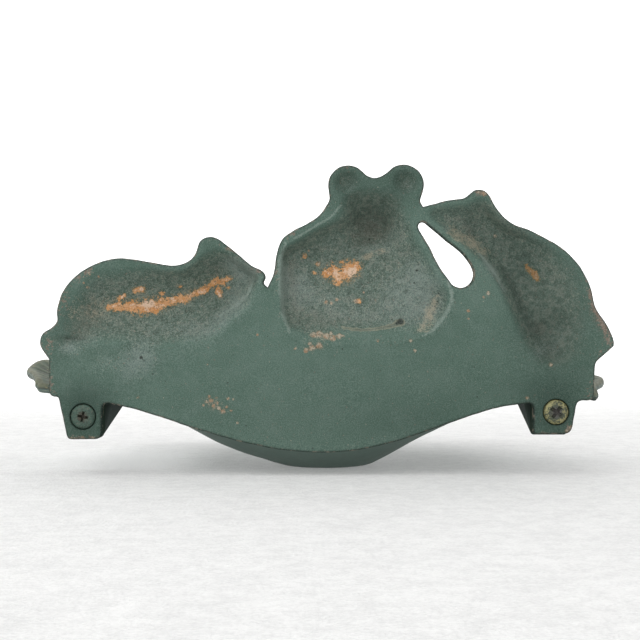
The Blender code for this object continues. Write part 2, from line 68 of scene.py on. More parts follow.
SCREWS = {}  # (right, z) of each screw's axis
for side_name in SIDES:
    low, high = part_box("screw_" + side_name)
    SCREWS[side_name] = (
        SHIFT[0] - (low.x + high.x) / 2 / MM,
        (low.z + high.z) / 2 / MM - SHIFT[2],
    )
POCKET_R, POCKET_DEPTH = 4.5, 3.3
HEAD_R, HEAD_H, HEAD_SIDE_H = 4.26, 3.0, 1.5
SHANK_R, SHANK_L = 2.0, 20.0
THREAD_PITCH, THREAD_DEPTH = 0.7, 0.42
SCREW_SEGMENTS = 48
LUG_HOLE_R, BOSS_HOLE_R = 2.4, 2.3
BOSS_BOTTOM, BOSS_FRONT_Y, BOSS_HOLE_END_Y = 14.6, 6.0, 8.5
BOSS_INNER = {"left": (77.6, 68.4), "right": (77.1, 71.0)}  # inner front corner: bottom, top

PITCH = 0.62  # spacing of the mesh points


# ---------------------------------------------------------------- the plate's outline
def arc(right, z, radius_right, radius_z, start, end, count):
    """Points on an ellipse from `start` to `end` degrees."""
    return [
        (right + radius_right * math.cos(math.radians(a)), z + radius_z * math.sin(math.radians(a)))
        for a in np.linspace(start, end, count)
    ]


def rounded(corners, step=2.5):
    """Straight runs joined by arcs. The ends are (right, z), a corner is (right, z, radius)."""
    points = [np.array(corners[0][:2], float)]
    for trio in zip(corners, corners[1:], corners[2:]):
        before, here, after = (np.array(c[:2], float) for c in trio)
        back = (before - here) / np.linalg.norm(before - here)
        ahead = (after - here) / np.linalg.norm(after - here)
        radius = trio[1][2]
        half = math.acos(float(np.clip(back @ ahead, -1, 1))) / 2
        inward = back + ahead
        middle = here + inward / np.linalg.norm(inward) * radius / math.sin(half)
        reach = radius / math.tan(half)
        for out in (here + back * reach - middle, -inward, here + ahead * reach - middle):
            points.append(middle + out / np.linalg.norm(out) * radius)
    points.append(np.array(corners[-1][:2], float))
    run = [points[0]]
    for start, end in zip(points, points[1:]):
        count = max(1, int(round(np.linalg.norm(end - start) / step)))
        run += [start + (end - start) * k / count for k in range(1, count + 1)]
    return [tuple(p) for p in run]


ARCH_ENDS, ARCH_LOWEST_AT = (-71, 71.5), 2.0
ARCH_LOW_Z, ARCH_HIGH_Z = 9.2, 26.0


def arch(right):
    """Height of the lower edge between the lugs; its two halves have different curves."""
    end, power = (ARCH_ENDS[1], 1.6) if right > ARCH_LOWEST_AT else (ARCH_ENDS[0], 1.27)
    share = min(1.0, abs(right - ARCH_LOWEST_AT) / abs(end - ARCH_LOWEST_AT))
    fall = max(0.0, math.cos(math.pi / 2 * share)) ** power
    return ARCH_HIGH_Z - (ARCH_HIGH_Z - ARCH_LOW_Z) * fall


# The outline's strokes run anticlockwise, each starting where the last one ends: (right, z).
BOTTOM_EDGE = [(right, arch(right)) for right in np.linspace(*ARCH_ENDS, 17)]
RIGHT_LUG = rounded([
    (71.5, 26), (73.5, 26, 1.5), (73.5, 15.5, 1.3), (86.3, 15.5, 3), (88.5, 27, 2), (94, 27, 2),
    (94.7, 40, 3), (101, 45.5),
])
RIGHT_FROG = [
    (101, 45.5), (101, 47), (99, 52), *arc(66, 56, 28.7, 28.7, 6, 66, 7), (72.5, 85), (67, 87),
    (63.5, 89.5), (61, 92.5), *arc(55, 94.7, 4.1, 4.1, 30, 140, 5), (50, 96), (47, 95.5),
    (43.5, 95), (40, 94), (36, 93),
]
MIDDLE_FROG = [
    (36, 93), (35, 95), *arc(29.3, 100.4, 7, 7, -20, 140, 8), (21.5, 103.3), (19.3, 102.8),
    (17, 103.5), *arc(10.4, 100.3, 6.8, 6.8, 45, 195, 8), (4, 95.5), (2.5, 92.5), (0, 89.5),
    (-4, 87), (-8, 85), (-11.5, 82.5), (-13, 80), (-14, 76.5), (-15, 70), (-17, 65.5),
]
LEFT_FROG = [
    (-17, 65.5), (-18.3, 67), (-17.7, 69), (-18.5, 70.8), (-22.5, 73), (-27, 76.7), (-31.5, 80.3),
    *arc(-36.5, 78.3, 4.5, 4.5, 55, 145, 4), (-41.5, 77.3), (-43, 75.2), (-46, 73.5), (-50, 73),
    (-58, 74.3), *arc(-66, 55.5, 23, 19.9, 90, 185, 9), *arc(-90.1, 46.9, 4.5, 4.6, 105, 225, 5),
    (-91.5, 41),
]
LEFT_LUG = rounded([
    (-91.5, 41), (-91.5, 28.4, 2), (-88.3, 28.2, 0.9), (-85.2, 13.8, 1.4), (-73.7, 13.8, 1.8),
    (-73.2, 26, 1.5), (-71, 26),
])
# The hole between the middle frog and the right one.
CHIN_HOLE = [
    *arc(35.8, 86.3, 1.5, 1.5, 50, 205, 5), (38, 79.5), (41.5, 72.5),
    *arc(48.8, 70, 4.5, 4.6, 205, 390, 8), (50, 76.4), (43.5, 81.8),
]
CHIN_HOLE.append(CHIN_HOLE[0])
STROKES = [BOTTOM_EDGE, RIGHT_LUG, RIGHT_FROG, MIDDLE_FROG, LEFT_FROG, LEFT_LUG]


# ---------------------------------------------------------------- curves
def between(t, start, first, end, last):
    """The point at t on the line with `first` at start and `last` at end."""
    return (end - t) / (end - start) * first + (t - start) / (end - start) * last


def spline(points, step):
    """A centripetal Catmull-Rom curve through the points, sampled evenly about `step` apart."""
    knots = np.array(points, float)
    knots = np.vstack([2 * knots[0] - knots[1], knots, 2 * knots[-1] - knots[-2]])
    run = []
    for a, b, c, d in zip(knots, knots[1:], knots[2:], knots[3:]):
        t0 = 0.0
        t1 = t0 + math.sqrt(np.linalg.norm(b - a))
        t2 = t1 + math.sqrt(np.linalg.norm(c - b))
        t3 = t2 + math.sqrt(np.linalg.norm(d - c))
        for t in np.linspace(t1, t2, 16, endpoint=False):
            mid = between(t, t1, b, t2, c)
            early = between(t, t0, between(t, t0, a, t1, b), t2, mid)
            late = between(t, t1, mid, t3, between(t, t2, c, t3, d))
            run.append(between(t, t1, early, t2, late))
    run = np.array(run + [knots[-2]])
    length = np.concatenate([[0], np.cumsum(np.linalg.norm(np.diff(run, axis=0), axis=1))])
    even = np.linspace(0, length[-1], max(2, round(length[-1] / step)) + 1)
    return np.column_stack([np.interp(even, length, run[:, i]) for i in (0, 1)])


def closed_curve(strokes, step):
    return np.vstack([spline(stroke, step)[:-1] for stroke in strokes])


def sides_of(loop):
    return zip(loop, np.roll(loop, -1, axis=0))


def normals(loop):
    """Unit normals, pointing out of an anticlockwise loop."""
    along = np.roll(loop, -1, axis=0) - np.roll(loop, 1, axis=0)
    along /= np.maximum(np.linalg.norm(along, axis=1, keepdims=True), 1e-9)
    return np.column_stack([along[:, 1], -along[:, 0]])


def nearest(at, start, end):
    """The nearest place on a straight line, from 0 to 1, and the two offsets from it."""
    run_x, run_y = end[0] - start[0], end[1] - start[1]
    from_x, from_y = at[0] - start[0], at[1] - start[1]
    square = max(run_x * run_x + run_y * run_y, 1e-12)
    t = np.clip((from_x * run_x + from_y * run_y) / square, 0, 1)
    return t, from_x - t * run_x, from_y - t * run_y


def distance(points, loops):
    at = points.T.copy()
    best = np.full(len(points), 1e18)
    for loop in loops:
        for start, end in sides_of(loop):
            _, off_x, off_y = nearest(at, start, end)
            best = np.minimum(best, off_x**2 + off_y**2)
    return np.sqrt(best)


def inside(points, loops):
    odd = np.zeros(len(points), bool)
    x, y = points.T.copy()
    for loop in loops:
        for (x0, y0), (x1, y1) in sides_of(loop):
            if y0 == y1:
                continue
            crosses = (y0 > y) != (y1 > y)
            odd ^= crosses & (x < (x1 - x0) * (y - y0) / (y1 - y0) + x0)
    return odd


# ---------------------------------------------------------------- fields and noise
# In what follows `at` is a pair of coordinate arrays, (right, z) on the plate, (x, y) on the dish.
def smooth(t):
    t = np.clip(t, 0, 1)
    return t * t * (3 - 2 * t)


def softmax(first, second, softness):
    share = np.clip(0.5 + 0.5 * (first - second) / softness, 0, 1)
    return second + (first - second) * share + softness * share * (1 - share)


def hash01(column, row, seed):
    bits = column.astype(np.int64) * 374761393 + row.astype(np.int64) * 668265263
    bits = (bits + seed * 144665101) & 0xFFFFFFFF
    bits = ((bits ^ (bits >> 13)) * 1274126177) & 0xFFFFFFFF
    return ((bits ^ (bits >> 16)) & 0xFFFF) / 65535.0


def noise(at, scale, seed):
    """Smooth noise from -1 to 1 with features about `scale` millimetres across."""
    x, y = at[0] / scale + 1000.37, at[1] / scale + 1000.91
    column, row = np.floor(x), np.floor(y)
    share_x, share_y = smooth(x - column), smooth(y - row)

    def line(row):
        first, second = hash01(column, row, seed), hash01(column + 1, row, seed)
        return first * (1 - share_x) + second * share_x

    return 2 * (line(row) * (1 - share_y) + line(row + 1) * share_y) - 1


def waver(at, *layers):
    """A sum of noises, each (size, scale, seed)."""
    return sum(size * noise(at, scale, seed) for size, scale, seed in layers)


def turned(at, x, y, degrees):
    """Coordinates from a centre, along and across a turned axis."""
    cos, sin = math.cos(math.radians(degrees)), math.sin(math.radians(degrees))
    return (at[0] - x) * cos + (at[1] - y) * sin, -(at[0] - x) * sin + (at[1] - y) * cos


def gauss(at, x, y, half_width, half_height, turn=0.0):
    along, across = turned(at, x, y, turn)
    return np.exp(-((along / half_width) ** 2) - (across / half_height) ** 2)


def chain(at, points):
    """1 on the line through (right, z, radius) points, 0 at its radius and beyond."""
    best = np.zeros_like(at[0])
    points = points * 2 if len(points) == 1 else points
    for start, end in zip(points, points[1:]):
        t, off_right, off_z = nearest(at, start, end)
        off = np.hypot(off_right, off_z) / (start[2] + t * (end[2] - start[2]))
        best = np.maximum(best, np.clip(1 - off, 0, 1))
    return best


def trough(at, spine):
    depth = np.zeros_like(at[0])
    for start, end in zip(spine, spine[1:]):
        run_right, run_z = end[0] - start[0], end[1] - start[1]
        t, off_right, off_z = nearest(at, start, end)
        off = np.hypot(off_right, off_z)
        turn = run_right * off_z - run_z * off_right
        side = turn / (math.hypot(run_right, run_z) * np.maximum(off, 1e-6))
        left, right, deep = (start[i] + t * (end[i] - start[i]) for i in (2, 3, 4))
        share = off / ((left + right) / 2 + (left - right) / 2 * side)
        depth = softmax(depth, deep * np.clip(1 - share**2, 0, 1) ** 1.5 - 0.001, 0.5)
    return np.clip(depth - 0.13, 0, None)


def rounding(edge, radius):
    """How far a surface drops away at a rounded edge."""
    return radius - np.sqrt(np.clip(radius**2 - np.clip(radius - edge, 0, radius) ** 2, 0, None))


def bead(share):
    """A quarter round, from 0 at share 0 to 1 at share 1."""
    return np.sqrt(np.clip(1 - (1 - share) ** 2, 0, 1))


# ---------------------------------------------------------------- hollows in the plate's back
# Spines behind the side frogs: (right, z, half width left of its way, right of it, depth).
HOLLOW_LEFT = [
    (-78, 53, 11, 9, 3), (-70, 58.4, 14.5, 13, 7), (-57, 60.8, 13, 17, 8.6),
    (-43.4, 63.2, 10, 18, 9), (-33.5, 67.6, 12, 14.5, 10), (-26.4, 70, 6.5, 8.5, 7.5),
    (-21.8, 69.2, 3, 3.5, 2.5),
]
HOLLOW_RIGHT = [
    (41, 90.6, 4, 4, 2.5), (49.1, 87.9, 7, 8, 5.5), (56.6, 85.6, 11.5, 10.5, 8.5),
    (62.5, 79.5, 13, 9.5, 8.5), (67.6, 69.7, 19, 8, 7.8), (72, 61.2, 22, 8.5, 7.4),
    (76.7, 52.3, 19, 9.5, 6.4), (80.1, 45.9, 14, 9, 3.6), (81.1, 39.5, 8, 7, 1),
]
# The basin behind the middle frog, as corners for rounded().
BASIN = rounded([
    (12, 48.8), (42.2, 48.8, 9), (45.3, 63.5, 2.5), (34, 83, 6), (32.2, 100.5, 7), (8, 100.5, 6),
    (6, 89.5, 3.5), (-12.6, 78.6, 2.5), (-12.6, 48.6, 9), (12, 48.8),
], 4)
BASIN_LOOP = spline(BASIN, 1.0)[:-1]
# Swells of the basin's floor: (extra depth, right, z, half width, half height).
BASIN_SWELLS = [
    (4.4, 18.8, 88.6, 8.6, 7.2), (0.6, 25, 95, 6, 4), (1.2, -1, 68, 8, 11), (-0.8, 34, 68, 8, 12),
    (1.0, 38, 57, 5, 5),
]
EYE_HOLLOWS = [(10.0, 101.6), (30.2, 101.6)]  # (right, z)
# Shallow dents, steeper above: (right, z, half width, half height, depth).
DENTS = [
    (-60.2, 43, 7, 7.5, 1.3), (-84.6, 46.2, 4.2, 3.6, 2), (-74, 40.8, 6, 5, 0.7),
    (76.5, 43, 8, 6, 0.9), (-45, 50, 9, 5, 0.5),
]
# Rolled lips beside the hollows: chains of (right, z, radius).
LIPS = [(-22.6, 66.3, 2.4), (-24, 63, 2.6), (-28.1, 59.2, 3.2), (-35, 54.4, 4), (-43, 50, 3.5)]
BASIN_LIPS = [
    [(-8, 82.2, 1.2), (-12.4, 79.6, 1.3), (-13.6, 74, 1.4), (-13.8, 66, 1.4), (-12.6, 57, 1.5),
     (-10.2, 50.4, 1.6), (-6.6, 47.6, 1.5)],
    [(39, 82, 1.2), (42.4, 74.1, 1.4), (45.6, 66, 1.5), (46, 61, 1.7), (43.8, 55.5, 1.8),
     (39.4, 50.2, 1.7), (33, 47.6, 1.5)],
    [(-4, 46.8, 1.5), (8, 46.6, 1.8), (20, 46.6, 1.8), (30, 47, 1.5)],
    [(54.8, 76, 1.5), (58.4, 72.6, 1.9), (61.6, 68.6, 1.9), (64, 64, 1.5)],
]


def hollow(at):
    """Depth of the hollows in the plate's back, in millimetres."""
    right, z = at
    points = np.column_stack(at)
    into = np.where(inside(points, [BASIN_LOOP]), distance(points, [BASIN_LOOP]), 0)
    floor = 2.3 + 0.155 * (z - 49) + waver(at, (0.35, 8, 3), (0.2, 3.3, 4), (0.06, 1.6, 6))
    for deeper, *place in BASIN_SWELLS:
        floor += deeper * gauss(at, *place)
    # The basin's wall is steep at the lower left and wide towards the top.
    high = smooth((z - 83) / 9)
    wall = 2.8 + 4.4 * smooth(right / 10) * smooth((58 - z) / 6)
    wall += 9.0 * smooth((right - 18) / 14) * smooth((z - 60) / 9) + 4.5 * smooth((z - 76) / 6)
    wall += 4.5 * high
    share = np.clip(into / wall, 0, 1)
    depth = floor * ((1 - high) * (1 - (1 - share) ** 2.0) + high * smooth(share) ** 0.85)
    for spine in (HOLLOW_LEFT, HOLLOW_RIGHT):
        depth = np.maximum(depth, trough(at, spine))
    for eye_right, eye_z in EYE_HOLLOWS:
        off = np.hypot(right - eye_right, z - eye_z) / 5.6
        depth = softmax(depth, 3.0 * np.clip(1 - off**2, 0, 1) - 0.5, 0.5)
    for dent_right, dent_z, half_width, half_height, deep in DENTS:
        up = (z - dent_z) / half_height
        fade = np.exp(-((up - 0.25) ** 2) * np.where(up > 0.25, 3.5, 1.0))
        depth += deep * np.exp(-(((right - dent_right) / half_width) ** 2)) * fade
    depth -= 0.30 * smooth(1.6 * chain(at, LIPS)) * smooth((3.0 - depth) / 2.0)
    for line in BASIN_LIPS:
        depth -= 0.22 * smooth(1.8 * chain(at, line)) * smooth((2.5 - depth) / 1.5)
    return depth


# ---------------------------------------------------------------- mesh tools
def triangulate(loops, inner, ties=()):
    """Anticlockwise triangles of the region inside the loops, through the inner points.

    `ties` are closed rings kept as edges.
    """
    rings = list(loops) + list(ties)
    points = np.vstack(rings + [inner])
    edges, start = [], 0
    for ring in rings:
        count = len(ring)
        edges += [(start + i, start + (i + 1) % count) for i in range(count)]
        start += count
    found = delaunay_2d_cdt([Vector(p) for p in points.tolist()], edges, [], 0, 1e-7)
    verts = np.array([tuple(v) for v in found[0]])
    faces = np.array(found[2])
    faces = faces[inside(verts[faces].mean(axis=1), loops)]
    a, b, c = (verts[faces[:, i]] for i in range(3))
    turn = (b[:, 0] - a[:, 0]) * (c[:, 1] - a[:, 1]) - (b[:, 1] - a[:, 1]) * (c[:, 0] - a[:, 0])
    solid = np.abs(turn) > 1e-10
    faces, turn = faces[solid], turn[solid]
    faces[turn < 0] = faces[turn < 0][:, ::-1]
    return verts, faces


def hex_grid(low, high, pitch):
    rows = np.arange(low[1], high[1], pitch * math.sqrt(3) / 2)
    return np.array([
        (x + (pitch / 2 if i % 2 else 0), y)
        for i, y in enumerate(rows)
        for x in np.arange(low[0], high[0], pitch)
    ])


def inset_rings(loops, insets):
    """Points at the given distances inside the loops, left out where two edges come near."""
    found = []
    for inset in insets:
        for loop in loops:
            for way in (-1, 1):
                ring = loop + way * inset * normals(loop)
                ring = ring[inside(ring, loops)]
                if len(ring):
                    found.append(ring[distance(ring, loops) > 0.93 * inset])
    return np.vstack(found)


def thin_out(points, least):
    """Drops points that lie nearer than `least` to an earlier one."""
    seen, keep = {}, []
    for i, (x, y) in enumerate(points.tolist()):
        column, row = int(x // least), int(y // least)
        near = any(
            (other_x - x) ** 2 + (other_y - y) ** 2 < least * least
            for cell_x in (column - 1, column, column + 1)
            for cell_y in (row - 1, row, row + 1)
            for other_x, other_y in seen.get((cell_x, cell_y), ())
        )
        if not near:
            seen.setdefault((column, row), []).append((x, y))
            keep.append(i)
    return points[keep]


def shade(mesh, sharp):
    mesh.shade_smooth()
    mesh.set_sharp_from_angle(angle=math.radians(sharp))


def make_mesh(name, points, faces, sharp=50):
    """An object from points in millimetres; edges over `sharp` degrees stay sharp."""
    mesh = bpy.data.meshes.new(name)
    points = np.asarray(points, float) * MM
    mesh.from_pydata(points.tolist(), [], [tuple(map(int, f)) for f in faces])
    mesh.update()
    obj = bpy.data.objects.new(name, mesh)
    bpy.context.scene.collection.objects.link(obj)
    shade(mesh, sharp)
    return obj


def shell(near, far, tris, rows):
    """A solid from one triangulation used on two sheets, with `rows` of wall between them."""
    count = len(near)
    tris = tris.tolist()
    directed = set()
    for a, b, c in tris:
        directed.update(((a, b), (b, c), (c, a)))
    border = [(i, j) for i, j in directed if (j, i) not in directed]
    points = [near, far]
    faces = [tuple(f) for f in tris] + [tuple(i + count for i in f[::-1]) for f in tris]
    ends = sorted({i for i, _ in border})
    index = {i: k for k, i in enumerate(ends)}
    for row in range(1, rows):
        share = row / rows
        points.append(near[ends] * (1 - share) + far[ends] * share)

    def at(i, row):
        if row == 0:
            return i
        if row == rows:
            return i + count
        return 2 * count + (row - 1) * len(ends) + index[i]

    for i, j in border:
        for row in range(rows):
            faces.append((at(i, row), at(i, row + 1), at(j, row + 1), at(j, row)))
    return np.vstack(points), faces


def boolean(obj, other, operation):
    """Applies a boolean with another object, which is then removed."""
    modifier = obj.modifiers.new("cut", "BOOLEAN")
    modifier.operation, modifier.solver, modifier.object = operation, "EXACT", other
    graph = bpy.context.evaluated_depsgraph_get()
    mesh = bpy.data.meshes.new_from_object(obj.evaluated_get(graph), depsgraph=graph)
    obj.modifiers.clear()
    old = obj.data
    obj.data = mesh
    bpy.data.meshes.remove(old)
    bpy.data.objects.remove(other, do_unlink=True)
    shade(mesh, 50)


def lathe(name, rows, side, sharp=50):
    """A solid about a screw's axis. Rows run towards +Y: (y, radius or a radius per segment)."""
    right, z = SCREWS[side]
    count = SCREW_SEGMENTS
    points, faces = [], []
    for y, radii in rows:
        if np.isscalar(radii):
            radii = [radii] * count
        for i, radius in enumerate(radii):
            turn = 2 * math.pi * i / count
            points.append((-right + radius * math.cos(turn), y, z + radius * math.sin(turn)))
    last = (len(rows) - 1) * count
    for start in range(0, last, count):
        for i in range(count):
            j = (i + 1) % count
            faces.append((start + i, start + count + i, start + count + j, start + j))
    faces.append(tuple(range(count)))
    faces.append(tuple(last + i for i in reversed(range(count))))
    return make_mesh(name, points, faces, sharp)


def coordinates(mesh):
    co = np.empty(len(mesh.vertices) * 3)
    mesh.vertices.foreach_get("co", co)
    return co.reshape(-1, 3) / MM


def curvature(mesh, rounds=12):
    """How far each point stands out of (+) or into (-) its surroundings, in millimetres."""
    co = coordinates(mesh)
    normal = np.empty(len(mesh.vertices) * 3)
    mesh.vertices.foreach_get("normal", normal)
    edges = np.empty(len(mesh.edges) * 2, int)
    mesh.edges.foreach_get("vertices", edges)
    a, b = edges.reshape(-1, 2).T
    count = len(co)
    weight = np.bincount(a, minlength=count) + np.bincount(b, minlength=count)
    flat = co.copy()
    for _ in range(rounds):
        total = np.column_stack([
            np.bincount(a, flat[b, k], count) + np.bincount(b, flat[a, k], count)
            for k in range(3)
        ])
        flat = 0.5 * flat + 0.5 * total / np.maximum(weight, 1)[:, None]
    return ((co - flat) * normal.reshape(-1, 3)).sum(axis=1)


def attribute(mesh, name, values):
    layer = mesh.attributes.new(name, "FLOAT", "POINT")
    layer.data.foreach_set("value", np.ascontiguousarray(values, np.float32))


def roughen(loop, size, seed):
    """A slight hand-cast waver in an outline."""
    wave = size * waver(loop.T, (1, 3.0, seed), (0.6, 1.4, seed + 1))
    return loop + normals(loop) * wave[:, None]


def circle(centre, radius, count):
    turn = np.arange(count) * 2 * math.pi / count
    return np.column_stack([
        centre[0] + radius * np.cos(turn), centre[1] + radius * np.sin(turn)
    ])


# ---------------------------------------------------------------- the frogs' front
# Rounded masses: (right, z, half length, half width, turn in degrees, height over the plate,
# softness of the join).
MASSES = [
    # left frog
    (-60, 59, 27, 15, 8, 15, 2), (-35, 67, 16, 11.5, 20, 14.5, 2), (-37, 76.5, 6, 6, 0, 14.5, 1.5),
    (-75, 52, 15, 11, 25, 17, 2), (-36, 52, 6, 11, -12, 12, 2),
    # middle frog
    (15.5, 70, 24, 21, 0, 14, 2), (19.5, 93, 17, 12, 0, 15.5, 2),
    (10, 100.5, 6.6, 6.6, 0, 15.5, 1.5), (29.5, 100.5, 6.6, 6.6, 0, 15.5, 1.5),
    (-4, 62, 9, 14, -14, 16, 2), (37, 62, 9, 14, 14, 16, 2),
    # right frog
    (75, 66, 26, 15, -52, 15, 2), (54, 87, 16, 10.5, -18, 14.5, 2),
    (55.5, 93, 5.6, 5.6, 0, 14.5, 1.5), (84, 52, 15, 11, -60, 17, 2), (62, 60, 6, 12, 8, 12, 2),
    # feet
    (-70, 40, 10, 4, 8, 8, 1), (-32, 40, 7, 3.5, -8, 7, 1), (1, 47, 8, 3.6, 8, 8, 1),
    (31, 47, 8, 3.6, -8, 8, 1), (78, 40, 9, 4, -8, 8, 1), (60, 45, 7, 3.5, 12, 7, 1),
]
EYES = [(-36.8, 76.4, 3.3), (10, 100.9, 4.1), (29.6, 100.9, 4.1), (55.3, 93.2, 3.1)]  # + radius
NOSTRILS = [(-22.6, 71), (16.8, 95), (22.4, 95), (42, 92.6)]
# Carved lines: (depth, chain of (right, z, radius)).
CARVED = [
    (1.1, [(-18.9, 67.4, 1), (-25, 66, 1.1), (-32, 65.2, 1.1), (-38.5, 67, 1), (-41.5, 70.5, 0.8)]),
    (1.2, [(3.6, 92.4, 1), (7.5, 89.4, 1.2), (13, 87.2, 1.2), (19.6, 86.4, 1.2), (26, 87.2, 1.2),
           (31.6, 89.4, 1.2), (35.4, 92.4, 1)]),
    (1.1, [(38.4, 91.3, 0.9), (44, 88.6, 1.1), (50, 85.4, 1.1), (55.6, 84, 1.1), (59.5, 86, 0.8)]),
    (0.5, [(6.5, 83.5, 0.9), (13, 80.8, 1), (19.6, 80, 1), (26, 80.8, 1), (32.5, 83.5, 0.9)]),
    (0.35, [(9.5, 75, 0.9), (14, 71.8, 1), (19.6, 70.8, 1), (25, 71.8, 1), (29.6, 75, 0.9)]),
    (1.0, [(-62, 45.5, 1.3), (-59.8, 52, 1.5), (-62.5, 59, 1.5), (-70, 63.4, 1.4),
           (-78, 63.2, 1.2)]),
    (1.0, [(62.5, 47, 1.2), (66.5, 53.5, 1.5), (73.5, 59, 1.5), (81.5, 60.4, 1.4),
           (88, 57.5, 1.1)]),
]
# Raised limbs: (height, chain of (right, z, radius)).
LIMBS = [
    (2.4, [(7.2, 79, 2.6), (6.6, 70, 3.4), (9.4, 61, 3), (12, 54, 2.6)]),
    (2.4, [(31.8, 79, 2.6), (32.4, 70, 3.4), (29.6, 61, 3), (27, 54, 2.6)]),
    (2.2, [(-44, 62, 2.6), (-41.5, 55, 3.2), (-36.5, 47.5, 2.8), (-33, 42, 2.4)]),
    (1.8, [(-84, 52, 3), (-80, 45.5, 3.6), (-73, 41.5, 3)]),
    (2.2, [(60.5, 76, 2.4), (57.8, 67, 3), (60.6, 57, 2.8), (61, 48, 2.4)]),
    (1.8, [(89, 54, 3), (86.5, 47, 3.6), (80, 42, 3)]),
]
# Feet with three toes each: (right, z, heading in degrees, toe length, toe thickness).
TOES = [
    (12.2, 52.6, -112, 5.6, 1.35), (26.8, 52.6, -68, 5.6, 1.35), (-6, 47.2, -150, 6, 1.4),
    (38.4, 47.2, -30, 6, 1.4), (2, 47.4, -100, 4.6, 1.3), (31, 47.4, -80, 4.6, 1.3),
    (-33.2, 41.4, -60, 5.6, 1.3), (-73, 41.2, -30, 7, 1.4), (60.6, 46.4, -112, 5.6, 1.3),
    (79, 41.6, -150, 7, 1.4),
]
WART_CELL = 4.2


def warts(at):
    """Small bumps, one to a cell of a scattered grid, with some cells left empty."""
    right, z = at
    cell_right, cell_z = np.floor(right / WART_CELL), np.floor(z / WART_CELL)
    bumps = np.zeros_like(right)
    for i in (-1, 0, 1):
        for j in (-1, 0, 1):
            cell = (cell_right + i, cell_z + j)
            off_right = right - (cell[0] + 0.2 + 0.6 * hash01(*cell, 71)) * WART_CELL
            off_z = z - (cell[1] + 0.2 + 0.6 * hash01(*cell, 72)) * WART_CELL
            size = 0.55 + 0.75 * hash01(*cell, 73)
            keep = hash01(*cell, 74) > 0.35
            bump = 0.42 * size * np.exp(-(off_right**2 + off_z**2) / (0.55 * size * size))
            bumps = np.maximum(bumps, keep * bump)
    return bumps


def details(at, height):
    """Height of the details on the frogs' front, and masks of the eyes and their pupils."""
    right, z = at
    more = np.zeros_like(right)
    body = smooth((height - 3) / 3)
    for tall, line in LIMBS:
        more = np.maximum(more, tall * bead(chain(at, line)) * body)
    for foot_right, foot_z, heading, length, thick in TOES:
        for spread in (-34, -2, 30):
            turn = math.radians(heading + spread)
            toe = [
                (foot_right + part * length * math.cos(turn),
                 foot_z + part * length * math.sin(turn), thick * wide)
                for part, wide in ((0, 1), (0.5, 0.85), (1, 1.15))
            ]
            more = np.maximum(more, 1.5 * bead(chain(at, toe)))
    for deep, line in CARVED:
        more -= deep * smooth(1.5 * chain(at, line)) * body
    throat = np.clip(gauss(at, 19.6, 74, 11, 13) + gauss(at, 19.6, 90, 13, 5), 0, 1)
    more += warts(at) * smooth((height - 6) / 4) * (1 - throat)
    eye, pupil = np.zeros_like(right), np.zeros_like(right)
    for eye_right, eye_z, radius in EYES:
        off = np.hypot(right - eye_right, z - eye_z)
        dome = np.sqrt(np.clip(1 - (off / (0.80 * radius)) ** 2, 0, 1))
        groove = np.exp(-(((off - 0.86 * radius) / 0.42) ** 2))
        lid = np.exp(-(((off - 1.12 * radius) / 0.55) ** 2))
        more = more * smooth((off - radius) / 0.8) + 1.5 * dome - 0.75 * groove + 0.5 * lid
        slit = ((right - eye_right) / (0.46 * radius)) ** 2 + ((z - eye_z) / (0.20 * radius)) ** 2
        slit = np.exp(-(slit**2))
        more -= 0.5 * slit
        eye = np.maximum(eye, smooth((0.80 * radius - off) / 0.4))
        pupil = np.maximum(pupil, slit)
    for hole_right, hole_z in NOSTRILS:
        more -= 0.9 * np.exp(-(((right - hole_right) ** 2 + (z - hole_z) ** 2) / 0.55))
    return more, eye, pupil


def relief(at, edge):
    """Thickness of the plate with the frogs on its front."""
    height = np.zeros_like(at[0])
    for right, z, half_length, half_width, turn, tall, softness in MASSES:
        along, across = turned(at, right, z, turn)
        out = (along / half_length) ** 2 + (across / half_width) ** 2
        dome = tall * np.sqrt(np.clip(1.15 - out, 0, None)) - 2.0
        height = softmax(height, dome - 10 * np.clip(out - 1.15, 0, None), softness)
    ease = bead(np.clip(edge / 9.0, 0, 1))
    return PLATE_T + height * ease + details(at, height)[0] * smooth(edge / 2.5)


# ---------------------------------------------------------------- frog back plate
OUTLINE = roughen(closed_curve(STROKES, 0.6 if PITCH < 1 else 1.0), 0.07, 5)
CHIN = roughen(closed_curve([CHIN_HOLE], 0.6), 0.06, 9)
EDGES = [OUTLINE, CHIN]


def off_screw(at, side):
    right, z = SCREWS[side]
    return np.hypot(at[0] - right, at[1] - z)


def clear_of_pockets(points):
    for side in SIDES:
        points = points[off_screw(points.T, side) > 5.3]
    return points


def plate_triangles():
    loops = EDGES + [circle(SCREWS[side], LUG_HOLE_R, 40)[::-1] for side in SIDES]
    grid = hex_grid((-97, 7), (103, 110), PITCH)
    grid = grid[inside(grid, loops)]
    grid = clear_of_pockets(grid[distance(grid, EDGES) > 1.45])
    rings = clear_of_pockets(thin_out(inset_rings(EDGES, (0.22, 0.5, 0.9)), 0.2))
    pocket_rings, ties = [], []
    for side in SIDES:
        for radius in (5.15, 4.8, 4.62, 3.8, 3.1):
            pocket_rings.append(circle(SCREWS[side], radius, 64 if radius > 4 else 48))
        ties += [circle(SCREWS[side], radius, 72) for radius in (POCKET_R, POCKET_R - 0.05)]
    return triangulate(loops, np.vstack([rings, grid] + pocket_rings), ties)


